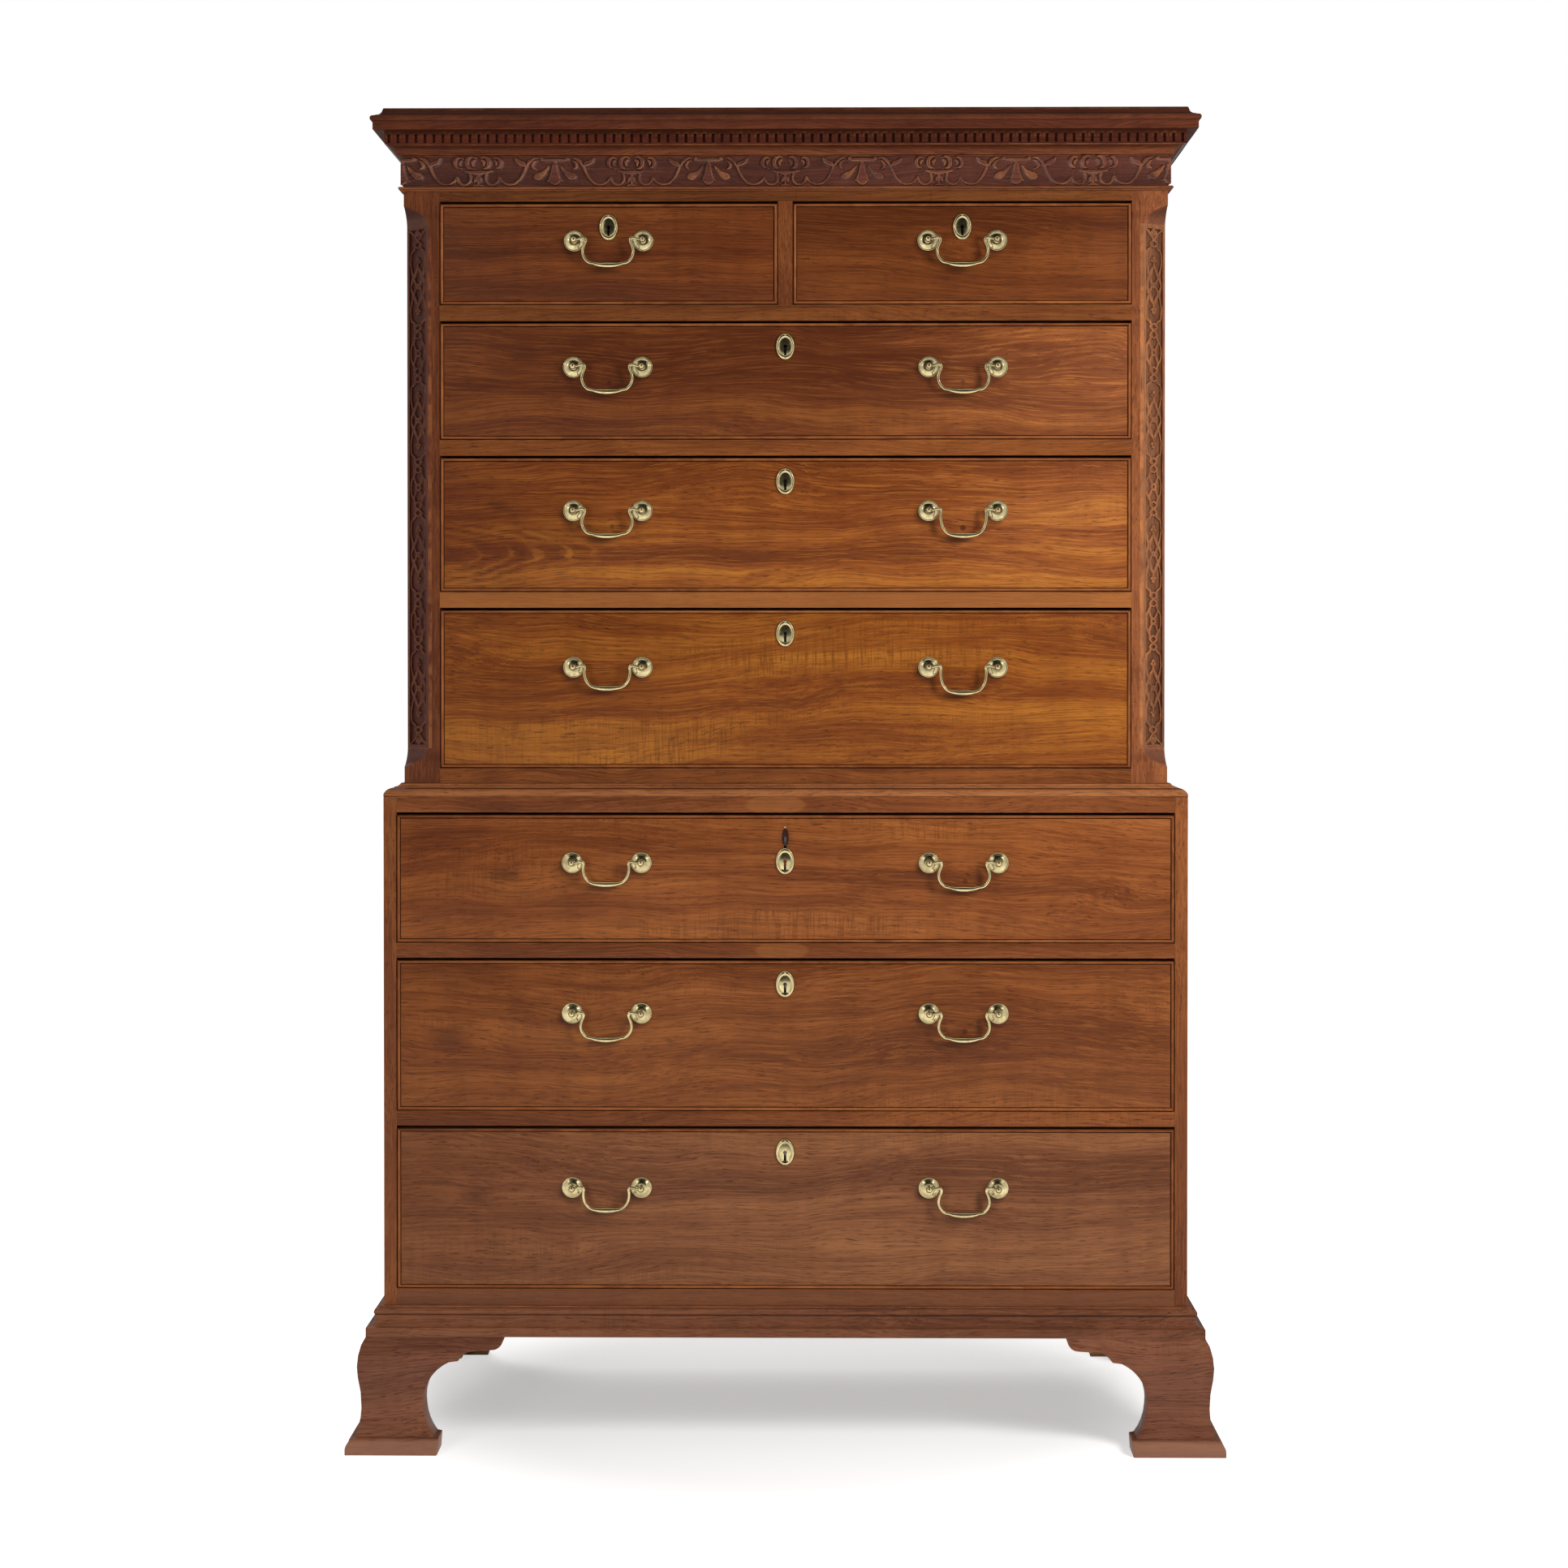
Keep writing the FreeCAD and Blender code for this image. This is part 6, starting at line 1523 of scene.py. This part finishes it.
# ---------------------------------------------------------------- bails
# Fourteen cast swan-neck bails. Each arm leaves its post level, turns down over a small knuckle and swells
# out before the thick, slightly pointed grip. Three are from a shallower set.
BALL_OUT = 15.0
BAIL_ARM = ((47.4, 0.0, 1.6), (43.4, 0.1, 1.7), (40.0, 0.9, 1.9), (36.4, 2.0, 2.2), (33.0, 2.0, 2.5),
            (31.2, -0.6, 2.4), (31.6, -4.0, 2.15))
BULGED_SIDE = ((33.8, 0.26, 2.1), (35.2, 0.44, 2.15), (34.3, 0.62, 2.2), (31.2, 0.78, 2.25),
               (26.6, 0.895, 2.2))
PLAIN_SIDE = ((31.6, 0.30, 2.1), (31.0, 0.46, 2.15), (29.2, 0.64, 2.2), (26.2, 0.79, 2.2), (23.4, 0.875, 2.2))
BAIL_GRIP = ((20.0, 0.935, 2.25), (15.4, 0.97, 2.7), (10.0, 0.99, 3.4), (4.0, 1.0, 3.9), (0.0, 1.0, 4.0))
SHALLOW = 32
PLAIN_BAILS = ("upper_3_bail_right", "upper_4_bail_right")


def bail_shape(drop, side_line, around=16):
    """A round bar that follows half the bail and its mirror, about the pivot."""
    low = drop - 2.4
    half = [*BAIL_ARM, *((x, -share * low, r) for x, share, r in side_line + BAIL_GRIP)]
    smooth = flowing(half + [(-x, z, r) for x, z, r in half[-2::-1]], 5)
    turns = np.linspace(0, 2 * math.pi, around, endpoint=False)
    loops = []
    for index, (x, z, radius) in enumerate(smooth):
        ahead = smooth[min(index + 1, len(smooth) - 1)][:2] - smooth[max(index - 1, 0)][:2]
        across, up = np.array((-ahead[1], ahead[0])) / np.linalg.norm(ahead) * radius
        flat = 1.0 if radius < 2.3 or abs(x) > 24 else 0.9
        loops.append(metres((x + across * math.cos(a), radius * flat * math.sin(a), z + up * math.cos(a))
                            for a in turns))
    return ring_loft(loops)


for drawer in DRAWERS:
    for bail, centre_x, pivot_z, drop in bails_of(drawer):
        side_line = PLAIN_SIDE if drop < SHALLOW or bail in PLAIN_BAILS else BULGED_SIDE
        shape = moved(bail_shape(drop, side_line), centre_x, drawer_sizes[drawer][0] - BALL_OUT, pivot_z)
        fitted(make(f"{bail}_casting", [Part(*shape)], [brass], sharp=60), bail, "brass", bail)

# ---------------------------------------------------------------- lock bolts
# Square-ended bolts of forged iron. A key raises each one out of its lock and into a mortise in the
# rail above.
for drawer in DRAWERS:
    refinished(f"{drawer}_lock_bolt", iron)

# ---------------------------------------------------------------- floor, backdrop, lamps and camera
# A white floor and a white surround, a large soft lamp to the right in front at half height and a weaker
# one to the left. A dark flag behind the camera gives the brass its dark reflections.
scene = bpy.context.scene
scene.view_settings.view_transform = "Standard"


def directly_seen(tree):
    """1 for what the camera sees, also in a mirror or through a clear piece, and 0 for light on the chest."""
    rays = node_in(tree, "ShaderNodeLightPath").outputs
    seen = maths(tree, "MAXIMUM", rays["Is Camera Ray"], rays["Is Glossy Ray"])
    return maths(tree, "MAXIMUM", seen, rays["Is Transmission Ray"])


def plane(name, corners, finish):
    mesh = bpy.data.meshes.new(name)
    mesh.from_pydata(corners, [], [(0, 1, 2, 3)])
    mesh.materials.append(finish)
    made = bpy.data.objects.new(name, mesh)
    scene.collection.objects.link(made)
    return made


FLOOR_HALF, FLOOR_LEVEL = 14.0, -0.0003
AMBIENT = 0.2
floor_finish, tree = new_finish("white_floor")
tree.nodes.remove(tree.nodes["Principled BSDF"])
matt, paper = node_in(tree, "ShaderNodeBsdfDiffuse"), node_in(tree, "ShaderNodeBsdfDiffuse")
matt.inputs["Color"].default_value = (0.74, 0.74, 0.74, 1)
paper.inputs["Color"].default_value = (0.96, 0.96, 0.96, 1)
glow = node_in(tree, "ShaderNodeEmission")
where = node_in(tree, "ShaderNodeTexCoord").outputs["Object"]
from_middle = vector_maths(tree, "LENGTH", where, (0, 0, 0))
feed(tree, glow.inputs["Strength"], between(tree, from_middle, 0.4, 0.85, 0.42, 0.95))
lit = wired(tree, "ShaderNodeAddShader", (paper.outputs[0], glow.outputs[0]))
mixed = wired(tree, "ShaderNodeMixShader", (directly_seen(tree), matt.outputs[0], lit))
feed(tree, tree.nodes["Material Output"].inputs["Surface"], mixed)
corners = [(x * FLOOR_HALF, y * FLOOR_HALF, FLOOR_LEVEL) for x, y in ((-1, -1), (1, -1), (1, 1), (-1, 1))]
plane("floor", corners, floor_finish)

world = bpy.data.worlds.new("surround")
scene.world = world
world.use_nodes = True
tree = world.node_tree
background = tree.nodes["Background"].inputs
feed(tree, background["Strength"], between(tree, directly_seen(tree), 0.0, 1.0, AMBIENT, 1.0))
background["Color"].default_value = WHITE


def lamp(name, place, target, size, power, mirrored):
    light = bpy.data.lights.new(name, "AREA")
    light.shape = "RECTANGLE"
    light.size, light.size_y = size
    light.energy = power
    made = bpy.data.objects.new(name, light)
    scene.collection.objects.link(made)
    made.visible_camera = False
    made.visible_glossy = mirrored
    made.location = place
    x, y, z = (b - a for a, b in zip(place, target))
    made.rotation_euler = (math.pi / 2 + math.atan2(z, math.hypot(x, y)), 0.0, math.atan2(-x, y))


lamp("key", (1.4, -1.6, 1.55), (0.2, -0.25, 1.05), (0.6, 0.9), 31, False)
lamp("fill", (-1.5, -3.4, 0.7), (0.0, -0.25, 0.9), (1.4, 1.0), 36, False)
lamp("back", (-1.2, 2.8, 2.8), (0.0, 0.3, 1.0), (1.6, 1.6), 45, True)
lamp("glint_right", (2.2, -2.6, 2.4), (0.0, -0.25, 1.0), (0.35, 0.35), 5, True)
lamp("glint_left", (-2.2, -2.6, 2.4), (0.0, -0.25, 1.0), (0.35, 0.35), 4, True)

FLAG_LOW, FLAG_HIGH = 0.6, 4.4
FLAG_HALF, FLAG_FAR, FLAG_NEAR = 2.7, -6.0, -2.2
flag_finish, tree = new_finish("black_cloth")
tree.nodes["Principled BSDF"].inputs["Base Color"].default_value = (0.05, 0.045, 0.04, 1)
for name, first, last in (("flag_front", (FLAG_FAR, FLAG_LOW), (FLAG_FAR, FLAG_HIGH)),
                          ("flag_top", (FLAG_FAR, FLAG_HIGH), (FLAG_NEAR, FLAG_HIGH))):
    flag = plane(name, [(-FLAG_HALF, *first), (FLAG_HALF, *first), (FLAG_HALF, *last), (-FLAG_HALF, *last)],
                 flag_finish)
    flag.visible_camera = False
    flag.visible_diffuse = False
    flag.visible_shadow = False
    flag.visible_transmission = False

camera = bpy.data.cameras.new("camera")
camera.lens = 67.8
camera.shift_y = -0.06
camera_object = bpy.data.objects.new("camera", camera)
scene.collection.objects.link(camera_object)
camera_object.location = (0.045, -4.356, 1.10)
camera_object.rotation_euler = (math.radians(89.37), 0.0, math.radians(0.65))
scene.camera = camera_object
